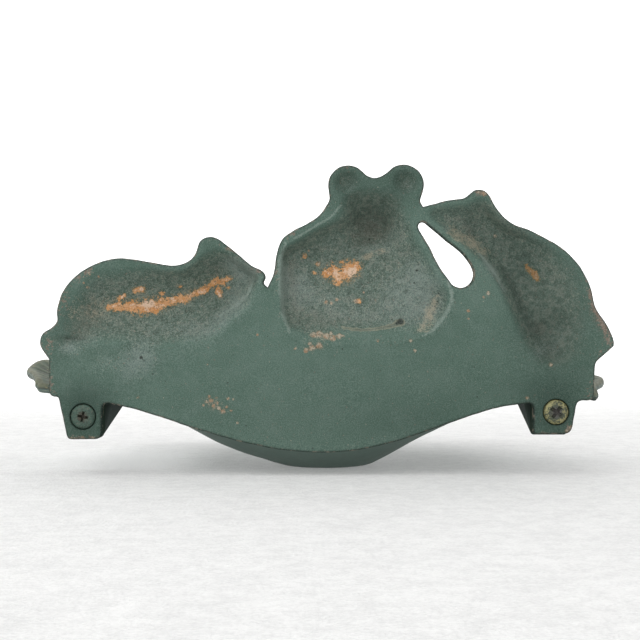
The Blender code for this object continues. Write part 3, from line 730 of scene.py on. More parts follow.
def build_plate():
    flat, tris = plate_triangles()
    at = right, z = flat.T
    edge = distance(flat, EDGES)
    depth = hollow(at) * smooth((edge - 0.5) / 3.2)
    skin = waver(at, (0.05, 1.3, 11), (0.035, 0.7, 12), (0.10, 7, 13))
    sunk = np.zeros_like(right)
    for side in SIDES:
        off = off_screw(at, side)
        rim = np.maximum(sunk, rounding(off - POCKET_R, 0.35))
        sunk = np.where(off < POCKET_R - 0.02, POCKET_DEPTH, rim)
        skin = np.where(off < POCKET_R + 0.4, 0, skin)
    level = BACK_Y - 0.30
    back_y = np.minimum(level - depth - sunk - rounding(edge, 0.75) + skin, BACK_Y)
    thick = softmax(relief(at, edge), depth + HOLLOW_WALL, 0.6)
    lugs = ((right < -73) | (right > 73.4)) & (right > -88.5) & (right < 88.6) & (z < LUG_TOP)
    thick = np.where(lugs, LUG_T - 0.2, thick)
    front_y = level - thick + rounding(edge, 1.1) + waver(at, (0.06, 1.5, 21), (0.12, 6, 22))
    back = np.column_stack([-right, back_y, z])
    front = np.column_stack([-right, front_y, z])
    return make_mesh("frog_backplate_casting", *shell(back, front, tris, rows=4))


# ---------------------------------------------------------------- lily-pad dish
FOOT_R = 13
# The underside: (radius, height).
PROFILE = [
    (FOOT_R, 0), (15, 0.25), (18, 1), (22, 2.6), (28, 5.1), (35.5, 8.8), (42.8, 12.6), (53, 17.7),
    (62, 21.3), (70, 23.7), (80, 25.6), (92, 27.3), (107, 28.7), (115, 29.2),
]
# The rim: (angle in degrees, lift, share of the full reach).
RIPPLES = [
    (20.7, -0.7, 0.971), (17, 2.2, 0.962), (9, 4.8, 0.967), (0, 3.6, 1), (-14, 6.2, 1),
    (-25, 2, 0.985), (-35, -2.5, 0.965), (-47, 3.5, 1), (-61, -2, 0.97), (-75, 3, 1),
    (-90, -1.5, 0.93), (-105, 3.2, 1), (-118, -2, 0.97), (-131, 3.6, 1), (-145, -2.2, 0.968),
    (-158, 2.6, 1), (-170, 0.8, 0.995), (-180, 0, 0.984), (-190, -0.8, 0.951),
    (-195, -1.5, 0.945), (-200.7, -5.6, 0.968),
]
CORNER_R = 2.6  # at both ends of the straight edge
VEINS = 16


def through(knots, at):
    """A smooth curve through knots (x, y), at the given x."""
    x, y = np.array(sorted(knots), float).T
    slope = np.gradient(y, x)
    slope[0] = slope[-1] = 0
    at = np.clip(at, x[0], x[-1])
    i = np.clip(np.searchsorted(x, at, side="right") - 1, 0, len(x) - 2)
    width = x[i + 1] - x[i]
    t = (at - x[i]) / width
    start = (2 * t**3 - 3 * t**2 + 1) * y[i] + (t**3 - 2 * t**2 + t) * width * slope[i]
    end = (3 * t**2 - 2 * t**3) * y[i + 1] + (t**3 - t**2) * width * slope[i + 1]
    return start + end


def dish_radius(x, y):
    """Distance from the middle, with the oval stretched to a circle."""
    return np.hypot(x, y * DISH_HALF_X / DISH_HALF_Y)


def round_angle(x, y):
    angle = np.degrees(np.arctan2(y * DISH_HALF_X / DISH_HALF_Y, x))
    return np.where(angle > 90, angle - 360, angle)


def bowl(x, y):
    """Height of the dish's underside."""
    out = dish_radius(x, y)
    off = x + FOOT_OFF * (1 - smooth(out / 36.0))
    radius = dish_radius(off, y)
    base = np.where(radius < FOOT_R, 0, through(PROFILE, radius))
    lean = 0.35 * np.exp(-(((radius - 20) / 7) ** 2)) - 0.7 * np.exp(-(((radius - 39) / 12) ** 2))
    base = base + lean * off / np.maximum(radius, 1) * smooth((radius - FOOT_R) / 4)
    lift = through([(angle, lift) for angle, lift, _ in RIPPLES], round_angle(x, y))
    share = np.clip((out / DISH_HALF_X - RIPPLE_FROM) / (1 - RIPPLE_FROM), 0, 1.2)
    return FLOOR_AT + base + lift * share**1.3


def dish_rim():
    """The dish's outline: the rippled rim, then the straight edge, with rounded corners."""
    step = 0.5 if PITCH < 1 else 1.0
    first, last = RIPPLES[-1][0], RIPPLES[0][0]
    angles = np.linspace(first, last, int((last - first) / step) + 1)
    reach = through([(angle, share) for angle, _, share in RIPPLES], angles)
    rim = np.column_stack([
        DISH_HALF_X * reach * np.cos(np.radians(angles)),
        DISH_HALF_Y * reach * np.sin(np.radians(angles)),
    ])
    rim = roughen(rim, 0.10, 31)
    rim[0, 1] = rim[-1, 1] = CHORD_Y
    rim = rim[rim[:, 1] <= CHORD_Y]
    ends = (rim[0, 0], rim[-1, 0])
    count = int((ends[1] - ends[0]) / (1.6 * PITCH))
    chord_x = np.linspace(ends[1], ends[0], count + 2)[1:-1]
    rim = np.vstack([rim, np.column_stack([chord_x, np.full(count, CHORD_Y)])])
    for end in ends:
        centre = np.array([end - math.copysign(CORNER_R, end), CHORD_Y - CORNER_R])
        outside = rim[:, 0] * math.copysign(1, end) > abs(centre[0])
        corner = outside & (rim[:, 1] > centre[1])
        away = rim[corner] - centre
        far = np.linalg.norm(away, axis=1, keepdims=True)
        rim[corner] = centre + away * np.minimum(1, CORNER_R / np.maximum(far, 1e-6))
    return rim


def veins(radius, angle, edge):
    """Veins that fan out over the pad from the middle and fork halfway, from 0 to 1."""
    vein = np.zeros_like(radius)
    for k in range(VEINS):
        heading = -200 + 220 * (k + 0.5) / VEINS
        bend = 3.0 * np.sin(radius / 17 + k)
        off = (angle - heading + bend * radius / DISH_HALF_X + 180) % 360 - 180
        off = off * math.pi / 180 * radius
        wide = 1.9 - 0.9 * radius / DISH_HALF_X
        vein = np.maximum(vein, np.exp(-((off / wide) ** 2)) * smooth((radius - 18) / 14))
        for way in (-1, 1):
            fork = off - way * np.clip(radius - 58, 0, None) * 0.16
            fork = 0.8 * np.exp(-((fork / 0.9) ** 2)) * smooth((radius - 58) / 6)
            vein = np.maximum(vein, fork)
    return vein * smooth((edge - 0.8) / 3)


def build_dish():
    rim = dish_rim()
    grid = hex_grid((-110, -88), (110, 30), PITCH * 1.75)
    grid = grid[inside(grid, [rim])]
    grid = grid[distance(grid, [rim]) > 2.2]
    rings = thin_out(inset_rings([rim], (0.3, 0.7, 1.3)), 0.28)
    flat, tris = triangulate([rim], np.vstack([rings, grid]))
    at = x, y = flat.T
    edge = distance(flat, [rim])
    base = bowl(x, y)
    radius = dish_radius(x, y)
    rounded_off = ~((y > CHORD_Y - 1.2) & (np.abs(x) < 93))  # not along the straight edge
    under = base + rounding(edge, 1.3) * rounded_off + 0.05 * noise(at, 1.6, 41)
    under = under + 0.12 * noise(at, 8, 42) * smooth((radius - 18) / 12)
    under = np.where(base < FLOOR_AT + 0.01, FLOOR_AT, np.maximum(under, FLOOR_AT))
    over = base + DISH_T - rounding(edge, 1.5) * rounded_off
    over = over + 0.55 * veins(radius, round_angle(x, y), edge)
    over = over + waver(at, (0.05, 1.6, 43), (0.18, 9, 44))
    near = np.column_stack([x, y, over])
    far = np.column_stack([x, y, under])
    return make_mesh("lily_pad_dish_casting", *shell(near, far, tris, rows=3))


def make_boss(side):
    """The block under the dish that a screw runs into; its top ends inside the dish."""
    way = 1 if side == "left" else -1
    rear = BACK_Y - LUG_T - GAP
    low_front, high_front = BOSS_INNER[side]
    points = []
    # (inner x in front, inner x at the lug, outer x, front y, height or None for in the dish)
    for front_x, lug_x, outer_x, front_y, height in (
        (low_front, 74.2, 86.2, BOSS_FRONT_Y + 3, BOSS_BOTTOM),
        (high_front, 71.0, 87.2, BOSS_FRONT_Y, None),
    ):
        for x, y in ((front_x, front_y), (outer_x, front_y), (outer_x, rear), (lug_x, rear)):
            top = float(bowl(np.array([way * x]), np.array([y]))[0]) + DISH_T / 2
            points.append((way * x, y, top if height is None else height))
    faces = [(0, 3, 2, 1), (4, 5, 6), (4, 6, 7)]
    for i in range(4):
        j = (i + 1) % 4
        faces += [(i, j, j + 4), (i, j + 4, i + 4)]
    if way < 0:
        faces = [f[::-1] for f in faces]
    boss = make_mesh("boss_" + side, points, faces)
    bevel = boss.modifiers.new("round", "BEVEL")
    bevel.width, bevel.segments = 0.7 * MM, 3
    bevel.limit_method, bevel.angle_limit = "ANGLE", math.radians(40)
    return boss


def add_bosses(dish):
    for side in SIDES:
        boolean(dish, make_boss(side), "UNION")
    for side in SIDES:
        bore = [(BOSS_HOLE_END_Y, BOSS_HOLE_R), (BACK_Y + 5, BOSS_HOLE_R)]
        boolean(dish, lathe("bore", bore, side), "DIFFERENCE")


# ---------------------------------------------------------------- screws
# The cross recess: (turn in degrees, half length of an arm, half width of an arm).
RECESS = {"left": (12, 1.75, 0.42), "right": (38, 2.2, 0.62)}


def thread_row(seat, y):
    """A ring of the thread, which fades in below the head and is thinner at the tip."""
    radii = []
    for i in range(SCREW_SEGMENTS):
        turn = 2 * math.pi * i / SCREW_SEGMENTS
        phase = ((seat - y) / THREAD_PITCH - turn / (2 * math.pi)) % 1.0
        tooth = abs(phase - 0.5) * 2
        radius = SHANK_R - THREAD_DEPTH * tooth * min(1.0, (seat - y) / 1.5)
        radii.append(radius - 0.5 * max(0.0, 1 - (y - seat + SHANK_L) / 0.8))
    return y, radii


def make_screw(side):
    seat = BACK_Y - POCKET_DEPTH + GAP
    steps = int(SHANK_L / THREAD_PITCH * 10)
    rows = [thread_row(seat, seat - SHANK_L + SHANK_L * k / steps) for k in range(steps + 1)]
    rows += [(seat, HEAD_R - 0.15), (seat + 0.15, HEAD_R), (seat + HEAD_SIDE_H, HEAD_R)]
    for t in np.linspace(0.15, 1, 9):
        turn = t * math.pi / 2
        rise = (HEAD_H - HEAD_SIDE_H) * math.sin(turn) ** 0.9
        rows.append((seat + HEAD_SIDE_H + rise, HEAD_R - 1.9 * (1 - math.cos(turn))))
    rows += [(seat + HEAD_H + 0.02, 1.4), (seat + HEAD_H + 0.03, 0.6)]
    screw = lathe("screw_%s_threaded" % side, rows, side, sharp=40)

    right, z = SCREWS[side]
    turn, arm, arm_t = RECESS[side]
    for quarter in (0, 90):
        angle = math.radians(turn + quarter)
        cos, sin = math.cos(angle), math.sin(angle)
        cross = []
        # A tapered blade: (height from the top of the head, half length, half width).
        for above, half, wide in (
            (-1.9, 0.7, 0.38), (-0.5, arm, arm_t), (1, arm + 0.35, arm_t + 0.12)
        ):
            for along, side_on in ((-half, -wide), (half, -wide), (half, wide), (-half, wide)):
                cross.append((
                    -right + along * cos - side_on * sin,
                    seat + HEAD_H + above,
                    z + along * sin + side_on * cos,
                ))
        faces = [(0, 1, 2, 3), (11, 10, 9, 8)]
        for b in (0, 4):
            faces += [(b + i, b + i + 4, b + (i + 1) % 4 + 4, b + (i + 1) % 4) for i in range(4)]
        boolean(screw, make_mesh("cross", cross, faces), "DIFFERENCE")
    return screw


# ---------------------------------------------------------------- wear, painted light and shade on the plate's back
def dots(*points):
    """Each point as a chain of its own."""
    return [[point] for point in points]


# Chains of (right, z, radius).
LINES = {
    "rust": [
        [(-72, 58.9, 2), (-65.2, 59.2, 3.2), (-60, 58.7, 4), (-56.4, 59.3, 4.2), (-51.2, 60.8, 3),
         (-45.7, 62.2, 2.6), (-41, 64, 2.1), (-38.1, 65.6, 1.5)],
        [(-37, 66.8, 1.5), (-33, 67.8, 2), (-30.4, 69, 1.3)],
        [(-34.8, 64.8, 1.7), (-33.8, 62.9, 1.4)], [(-36.6, 67.6, 1.4), (-34.6, 69, 1.2)],
        [(-68.6, 61.8, 1.2), (-66.6, 62.8, 1.1)], [(-63.4, 64.2, 1.3), (-60.6, 65, 1.8)],
        [(2.6, 70.8, 2.6), (5.2, 71, 4.2), (8.4, 70.4, 5), (11, 71.6, 4.8), (13.2, 72.2, 3.6)],
        [(7.6, 69.6, 2.6), (6.8, 66.9, 1.9)], [(72, 73.2, 1.2), (74, 71, 1.7), (75.8, 68.8, 1.4)],
        *dots((-31, 65.6, 1.2), (-47.5, 66, 1.3), (-54, 63.6, 1.4), (-1, 70.6, 1.2),
              (-4.6, 76.4, 1.3), (0.2, 73.8, 1.4), (14.4, 60.9, 1.5)),
    ],
    "chips": dots(
        (-1.2, 49.3, 1.5), (0.6, 49.6, 1.6), (3, 48.9, 1.7), (5.2, 48.3, 1.6), (7.4, 48.9, 1.4),
        (-1.9, 44.9, 1.6), (0.6, 45.6, 1.7), (-3.9, 44, 1.3), (-2.6, 46.4, 1), (4.6, 49.9, 0.9),
        (-7.5, 44.8, 0.7), (-20.4, 49.4, 0.7), (20.5, 47.4, 0.8), (31.7, 47.4, 0.9),
        (-2.2, 49.3, 0.7), (8.8, 49, 0.6), (-37.8, 26.6, 0.8), (-36.2, 27, 1.1),
        (-35.4, 25.2, 1), (-34.2, 26.2, 0.8), (-33.6, 24.4, 1), (-32.2, 23.2, 1.2),
        (-31, 24.8, 0.8), (-30.5, 27.6, 0.8), (-28.6, 27.4, 0.6), (-36.9, 28.4, 0.8),
        (-29.4, 23.6, 0.7), (-38.8, 25.4, 0.7), (-34.4, 28, 0.6), (-78.5, 65.5, 0.7),
        (-74.7, 69.1, 0.6), (-77.6, 70.2, 0.8), (-79.6, 67, 0.6), (0.3, 73.8, 0.9),
        (-4.4, 76.5, 0.7), (-3, 78.3, 0.6), (13.2, 60.9, 1.1), (3, 60.6, 0.9), (4.8, 60.1, 0.8),
        (6.6, 61.4, 0.8), (61.6, 83.5, 0.8), (58.1, 63.5, 1), (56.6, 62.2, 0.7),
        (51.3, 57.5, 0.9), (51.3, 54.9, 0.6), (79.7, 39.2, 1.1), (71.4, 27.8, 1), (33.2, 44, 0.8),
        (86.4, 17.4, 1.5), (84.8, 16.6, 1), (-39.7, 55.2, 0.4), (-37.6, 39.2, 0.4),
        (56.8, 97.6, 1.5), (55, 97.9, 1), (-27.2, 19.4, 0.7), (-61.1, 28.1, 0.6), (15.9, 64, 0.5),
        (20, 61, 0.5), (-29.6, 79, 1.5), (-27.6, 77.6, 1), (-86, 13.9, 1.6), (-83.4, 13.9, 1.3),
        (-80, 14, 1.2), (-76.6, 14, 1),
    ),
    "pits": dots(
        (41.4, 63.6, 0.7), (40.5, 58.9, 0.6), (40.3, 57.6, 0.6), (38.8, 60.2, 0.5),
        (41.2, 60.6, 0.45), (39.6, 56.3, 0.4), (34.1, 71.4, 0.9), (33.2, 67.2, 0.6),
        (28.6, 66.8, 0.5), (18.1, 82.5, 0.8), (-60.2, 41.6, 1.2), (-59.2, 40.6, 0.7),
        (27.2, 53.2, 1.1), (28.5, 53.9, 2), (-30, 41, 0.4), (-48, 33, 0.35), (-43, 27, 0.35),
        (-25, 38, 0.35), (26, 32, 0.35), (-10, 24, 0.35), (39, 55.5, 0.4), (-13.9, 47, 0.4),
        (-56, 36, 0.4), (61, 47, 0.35), (33.8, 74.8, 0.45),
    ),
    "crack": [[
        (8.5, 51.9, 0.4), (12, 51.2, 0.5), (15, 51, 0.6), (19, 51.2, 0.6), (23, 51.8, 0.7),
        (26, 52.6, 0.9), (27.6, 53.4, 1.6), (28.8, 53.6, 1.5),
    ]],
    # Painted highlights along the rolled lips of the hollows.
    "lips": [
        [(55.6, 77, 0.8), (58.6, 73.1, 1.2), (60, 71.4, 1.3), (61.4, 69.4, 1.3), (62.4, 67, 1)],
        [(-10.9, 81, 0.8), (-12.6, 75.1, 1.4), (-12.5, 64.6, 1.6), (-11.6, 56.1, 1.3),
         (-9.6, 50.6, 0.9)],
        [(38, 83.3, 0.7), (41.8, 74.1, 0.8), (45.3, 65.2, 0.9), (45.9, 61.2, 1.1),
         (43.4, 55.9, 1.2), (39, 50.6, 0.8), (35.5, 48.8, 0.4)],
        [(-22.6, 66.3, 1), (-24, 63.2, 1), (-28.1, 59.5, 0.9), (-34.9, 55, 0.8)],
        [(8, 93.6, 0.6), (4.4, 89.4, 0.7), (-2.5, 85.2, 0.6), (-8.2, 82, 0.6)],
    ],
}
# Soft spots: (right, z, half width, half height, turn in degrees, strength).
SPOTS = {
    # Partly pale dust, partly painted light: slopes that face up, the lit sides of the eye dimples
    # and the lower slope of the dent at the left end.
    "pale": [
        (-28, 73, 6, 4, -20, 0.85), (-22, 70, 4, 3, 0, 0.6), (-11.4, 68, 1.6, 9, 2, 0.8),
        (30, 64, 9, 8, 0, 0.6), (33, 56, 8, 5, 0, 0.4), (-74, 57, 6, 5, 0, 0.4),
        (-6, 63, 5, 6, 0, 0.5), (-32.5, 55, 13, 4, 44, 0.75), (-60.4, 41.4, 6, 6.5, 0, 0.9),
        (-64, 37, 3.5, 4.5, 20, 0.5), (-43.4, 50.5, 6, 4.5, 20, 0.5),
        (-84.8, 45, 3.6, 2.4, 0, 0.85), (-72, 39.5, 6, 4.5, 0, 0.45), (-26.4, 61.2, 5, 5, 45, 0.5),
        (-52, 51, 12, 3.5, 8, 0.35), (-78, 47, 6, 3, 0, 0.4), (-6, 66.9, 5.5, 8, 0, 0.65),
        (4.2, 61.2, 8, 4, 0, 0.5), (11, 56, 15, 3.4, 0, 0.5), (34.2, 69.7, 4.5, 9, 20, 0.6),
        (37.5, 58, 4, 6, 25, 0.6), (18.5, 78.8, 9, 3.2, 4, 0.55), (26.5, 84.5, 4, 6, -30, 0.4),
        (40, 64, 5, 9, 0, 0.5), (28, 60, 14, 9, 0, 0.35), (-28, 66.5, 6, 4, 30, 0.5),
        (11.4, 99.4, 2.6, 2.4, 0, 0.5), (31.6, 100.4, 2.4, 3.2, 0, 0.5),
        (28, 106, 3.5, 1.6, 0, 0.4), (59.4, 71.8, 4.6, 1.9, -48, 1), (63.4, 65.5, 3.6, 1.5, -58, 0.7),
        (76.3, 44.2, 7, 4.5, 0, 0.45), (84, 50, 5, 6, 0, 0.3), (44.5, 85.2, 2.4, 1.6, -40, 0.7),
    ],
    "sand": [
        (-35, 25.6, 4.2, 2.6, -25, 0.5), (2.8, 48.8, 7, 1.8, 0, 0.55), (-1, 45.2, 4, 1.8, 0, 0.5),
        (-72, 61, 4, 3, 0, 0.45), (-75.5, 57, 4.5, 4, 0, 0.6), (47.2, 83.8, 4.2, 2.6, -42, 0.85),
        (53.2, 80.6, 4.6, 2.6, -34, 0.85), (57.6, 78, 2.4, 1.8, -30, 0.6),
        (40.2, 60.5, 1.8, 3.2, -12, 0.85), (38.4, 55.5, 2.2, 4, -12, 0.9),
        (36.2, 51.6, 3, 2, 10, 0.7), (17.6, 76.4, 3.4, 1.5, 18, 0.9),
        (22.3, 78.4, 2.2, 1.2, 10, 0.7), (-61.5, 62.4, 7, 3.2, 8, 0.45),
        (-44, 65.4, 9, 3.4, 20, 0.4), (-33, 68.5, 6, 4, 20, 0.4), (-82.5, 57.5, 4, 6, 0, 0.4),
        (6, 70.4, 7, 2.8, 0, 0.3), (-54, 57, 16, 2.4, 6, 0.3), (76.5, 75.5, 5, 3, -40, 0.25),
        (3.6, 60.3, 2.8, 1.3, 0, 0.6), (13.1, 60.8, 1.4, 1.4, 0, 0.5),
    ],
    "brown": [
        (-2, 56, 9, 6, 0, 0.35), (12, 54, 17, 3.5, 0, 0.35), (14, 80, 5, 4, 0, 0.3),
        (24, 76, 5, 4, 0, 0.25), (-78, 56.1, 4.5, 6.5, -20, 0.55), (-81, 50.5, 7, 4, 0, 0.45),
        (-35.6, 25.6, 4.5, 2.6, -25, 0.55), (-8.7, 66.3, 2.6, 11, 4, 0.6),
        (18.9, 86, 8, 7, 0, 0.75), (76.7, 51.6, 3.6, 3.6, 0, 0.6), (51.9, 84.5, 5, 3, -35, 0.5),
        (-47, 62.4, 16, 3.5, 12, 0.35), (-68, 60.5, 6, 3, 0, 0.4), (95.5, 55.5, 2.6, 8, 28, 0.7),
        (66, 83, 5, 4, 0, 0.25),
    ],
    # Painted shade: darkening in the deep hollows, the head pocket, the crack's end and the crease
    # above the dent at the left end.
    "dark": [
        (-35.9, 71.6, 6.5, 4.6, 20, 0.45), (-50, 62.6, 16, 3, 10, 0.45),
        (-68.5, 61, 4.5, 3.5, 0, 0.35), (-84.2, 48.2, 4.4, 0.9, -3, 0.95),
        (-79.5, 48, 2.5, 0.6, 6, 0.5), (18.6, 88.2, 8.5, 7.5, 0, 0.6), (25, 93, 6, 4.5, 0, 0.3),
        (24.7, 58.5, 9, 4, 0, 0.3), (-2, 76.8, 7, 2.2, 30, 0.3), (53.9, 87.4, 7, 4.2, -28, 0.5),
        (61.5, 80.5, 4.6, 5, -45, 0.45), (66.4, 68.5, 1.7, 6, 34, 0.8),
        (69.6, 60.5, 2.4, 7, 24, 0.8), (74, 51.8, 3.6, 6, 30, 0.7), (79, 43.5, 4.4, 5, 20, 0.65),
        (82, 50, 7, 9, 0, 0.35), (70.6, 70.5, 5, 9, 35, 0.35), (-87.2, 42.4, 1.2, 3, 0, 0.3),
        (28.6, 53.5, 2.2, 1.4, 0, 0.8),
    ],
    "cream": [
        (11.8, 70.8, 2, 2.2, 0, 1), (-58.7, 60, 2.8, 1.5, 5, 1), (-50.8, 61.8, 1.2, 0.7, 20, 0.8),
        (-44.6, 63.4, 1.4, 0.6, 20, 0.8), (-60.8, 65, 1.4, 0.8, 10, 0.8),
        (-33.9, 63, 0.8, 1, 0, 0.8),
    ],
    "pink": [
        (93.4, 62.5, 1.4, 3, 26, 0.8), (95.4, 57, 1.7, 4, 26, 1), (97.8, 52, 1.6, 3.4, 24, 0.85),
        (99.2, 47.4, 2, 2.6, 0, 0.55), (95.8, 43, 1.4, 2.4, 0, 0.5), (92, 66.6, 1.2, 3, 25, 0.45),
        (-91.8, 46.4, 2.4, 4.5, 0, 0.5), (-86.5, 60, 2, 5, -20, 0.45),
        (-79.5, 70, 5.5, 1.5, 38, 0.5), (-29, 78.4, 3.4, 1.4, -42, 0.7),
        (-20.5, 71.6, 3, 1.4, -30, 0.6), (-14.6, 72, 1.2, 5, 5, 0.5), (-9, 83.6, 4, 1.2, 28, 0.55),
        (3.6, 96, 1.2, 5, 0, 0.4), (9, 106.4, 5, 1.2, 0, 0.4), (56.4, 97.8, 2.6, 1.6, 0, 0.7),
        (-80, 14.2, 6, 0.8, 0, 0.5), (85.6, 17.2, 2, 1.4, 30, 0.8), (78, 15.8, 5, 0.9, 0, 0.35),
        (93, 30, 1.4, 4, 0, 0.35), (-91, 33, 1.4, 6, 0, 0.45),
    ],
}
# Painted shade: soft spots, (right, z, half width, half height, turn in degrees, strength), that
# darken the back on the lugs, the eye hollows, the right frog and along the lower part.
SHADING = {
    "shade": [
        (40, 16, 40, 10, 12, 0.15), (20, 26, 60, 14, 0, 0.12), (71, 66, 7, 14, 28, 0.3),
        (79, 52, 9, 12, 28, 0.35), (84, 43, 8, 7, 0, 0.25), (-84, 56, 7, 9, 0, 0.25),
        (-80, 20, 9, 10, 0, 0.3), (81, 22, 9, 10, 0, 0.45), (10, 102, 6.5, 6.5, 0, 0.62),
        (29.5, 102, 7, 6.5, 0, 0.62), (19, 98, 14, 7, 0, 0.4), (-80, 20, 9, 10, 0, 0.9),
        (81, 22, 9, 11, 0, 0.95), (56, 96, 14, 6, -20, 0.35), (88, 66, 14, 28, 35, 0.42),
        (78, 46, 12, 12, 0, 0.35), (60, 35, 50, 22, 0, 0.22), (10, 18, 60, 12, 0, 0.22),
        (90, 38, 10, 14, 0, 0.3), (-88, 46, 7, 12, 0, 0.35), (-60, 73, 30, 5, 0, 0.2),
        (-36, 80, 5, 4, 0, 0.3), (0, 84, 14, 4, 28, 0.3),
    ],
    "painted_shade_dim": [
        (71, 74.6, 7.5, 9.5, 30, 0.66), (77.4, 54.4, 11, 11, 28, 0.58), (82, 22, 9, 10, 0, 0.5),
        (-80, 20, 9, 9, 0, 0.45), (9.4, 79, 9, 4.5, 0, 0.35), (10, 101.5, 10, 9, 0, 0.3),
        (29.5, 101.5, 10, 9, 0, 0.3), (-78, 28, 13, 6, 0, 0.5), (76, 30.5, 15, 7, 0, 0.45),
        (-82.5, 57.8, 5, 8, 0, 0.3), (-60.4, 39.1, 8, 6, 0, 0.2), (-34.9, 56.1, 8, 5, 30, 0.2),
        (34.9, 18.7, 20, 10, 0, 0.25), (82.5, 44.2, 8, 8, 0, 0.1), (-72.6, 21, 1.5, 5, 0, 0.6),
        (73, 20, 1.5, 6, 0, 0.6),
    ],
}


def blobs(at, spots):
    """Soft spots laid over each other."""
    left = np.ones_like(at[0])
    for *place, strength in spots:
        left *= 1 - strength * gauss(at, *place)
    return 1 - left


def write_plate_wear_and_shade(mesh):
    co = coordinates(mesh)
    at = (-co[:, 0], co[:, 2])
    edge = distance(np.column_stack(at), EDGES)
    deep = hollow(at)
    behind = (co[:, 1] > BACK_Y - np.maximum(deep, 0) - 2.6).astype(float)
    _, eye, pupil = details(at, np.full_like(at[0], 8.0))
    for side in SIDES:
        behind = np.where(off_screw(at, side) < POCKET_R + 0.1, 1.0, behind)
    values = {
        name: np.max([chain(at, line) for line in lines], axis=0) * behind
        for name, lines in LINES.items()
    }
    values |= {name: blobs(at, spots) * behind for name, spots in SPOTS.items()}
    values |= {
        "edge": np.exp(-edge / 0.9),
        "deep": np.clip(deep / 10, 0, 1.3) * behind,
        "behind": behind,
        "eye": eye * (1 - behind),
        "pupil": pupil * (1 - behind),
    }
    values |= {name: blobs(at, spots) * behind for name, spots in SHADING.items()}
    values["stand"] = curvature(mesh)
    for name, value in values.items():
        attribute(mesh, name, value)


def write_dish_curvature_and_shade(mesh):
    attribute(mesh, "stand", curvature(mesh))
    x, y, z = coordinates(mesh).T
    # Painted shade on the bosses below the dish's underside.
    attribute(mesh, "painted_boss_shade", smooth((bowl(x, y) - z - 0.2) / 1.2))


# ---------------------------------------------------------------- node tools
class Field:
    """A node output. Sums, products and ramps of it each add a node."""

    def __init__(self, nodes, socket):
        self.nodes, self.socket = nodes, socket

    def __add__(self, other):
        return self.nodes.math("ADD", self, other)

    def __radd__(self, other):
        return self.nodes.math("ADD", other, self)

    def __sub__(self, number):
        return self.nodes.math("ADD", self, -number)

    def __rsub__(self, other):
        return self.nodes.math("SUBTRACT", other, self)

    def __mul__(self, other):
        return self.nodes.math("MULTIPLY", self, other)

    def ramp(self, low, high):
        """A smooth step, 0 at `low` and 1 at `high`; `low` may be the larger."""
        node = self.nodes.new("MapRange")
        node.interpolation_type = "SMOOTHSTEP"
        for name, value in (("Value", self), ("From Min", low), ("From Max", high)):
            self.nodes.put(node.inputs[name], value)
        return Field(self.nodes, node.outputs[0])


class Nodes:
    """A short way to write a material's node tree."""

    def __init__(self, name):
        self.material = bpy.data.materials.new(name)
        self.material.use_nodes = True
        self.tree = self.material.node_tree
        self.bsdf = self.tree.nodes["Principled BSDF"]
        self.place = self.new("TexCoord").outputs["Object"]

    def new(self, kind):
        return self.tree.nodes.new("ShaderNode" + kind)

    def put(self, socket, value):
        if isinstance(value, Field):
            self.tree.links.new(value.socket, socket)
        elif isinstance(value, tuple):
            socket.default_value = (*value, 1)
        else:
            socket.default_value = value

    def math(self, operation, first, second=0.0, clamp=False):
        node = self.new("Math")
        node.operation, node.use_clamp = operation, clamp
        for socket, value in zip(node.inputs, (first, second, 0.0)):
            self.put(socket, value)
        return Field(self, node.outputs[0])

    def mapped(self, kind, size, offset, stretch=(1, 1, 1)):
        """A texture node with features of `size` mm; the offset is in metres."""
        mapping = self.new("Mapping")
        self.tree.links.new(self.place, mapping.inputs["Vector"])
        mapping.inputs["Location"].default_value = offset
        mapping.inputs["Scale"].default_value = stretch
        node = self.new(kind)
        self.tree.links.new(mapping.outputs[0], node.inputs["Vector"])
        node.inputs["Scale"].default_value = 1 / (size * MM)
        return node

    def noise(self, size, detail=2.0, rough=0.5, offset=(0, 0, 0), stretch=(1, 1, 1)):
        node = self.mapped("TexNoise", size, offset, stretch)
        node.inputs["Detail"].default_value = detail
        node.inputs["Roughness"].default_value = rough
        return Field(self, node.outputs[0])

    def specks(self, size, above, offset=(0, 0, 0)):
        """Small dots in the cells whose random value is over `above`."""
        cells = self.mapped("TexVoronoi", size, offset)
        dot = self.math("LESS_THAN", Field(self, cells.outputs["Distance"]), 0.05)
        red = self.new("SeparateColor")
        self.tree.links.new(cells.outputs["Color"], red.inputs[0])
        return dot * self.math("GREATER_THAN", Field(self, red.outputs[0]), above)

    def axes(self, socket):
        """The x, y and z of a vector output."""
        node = self.new("SeparateXYZ")
        self.tree.links.new(socket, node.inputs[0])
        return [Field(self, output) for output in node.outputs]

    def mix(self, share, under, over, kind="MIX"):
        node = self.new("Mix")
        node.data_type, node.blend_type = "RGBA", kind
        for index, value in ((0, share), (6, under), (7, over)):
            self.put(node.inputs[index], value)
        return Field(self, node.outputs[2])

    def coat(self, colour, *coats):
        """Lays coats over a colour: (mask, strength or None, tint, a second mask if any)."""
        for mask, strength, tint, *within in coats:
            if strength is not None:
                mask = mask * strength
            for outer in within:
                mask = outer * mask
            colour = self.mix(mask, colour, tint)
        return colour

    def value(self, name):
        node = self.new("Attribute")
        node.attribute_name = name
        return Field(self, node.outputs["Fac"])

    def bump(self, height, depth, strength):
        """A bump normal; `depth` is in millimetres."""
        node = self.new("Bump")
        node.inputs["Distance"].default_value = depth * MM
        self.put(node.inputs["Strength"], strength)
        self.put(node.inputs["Height"], height)
        return Field(self, node.outputs[0])

    def finish(self, colour, roughness, normal, specular, metallic=0.0):
        for name, value in (
            ("Base Color", colour), ("Roughness", roughness), ("Metallic", metallic),
            ("Specular IOR Level", specular), ("Normal", normal),
        ):
            self.put(self.bsdf.inputs[name], value)
        return self.material


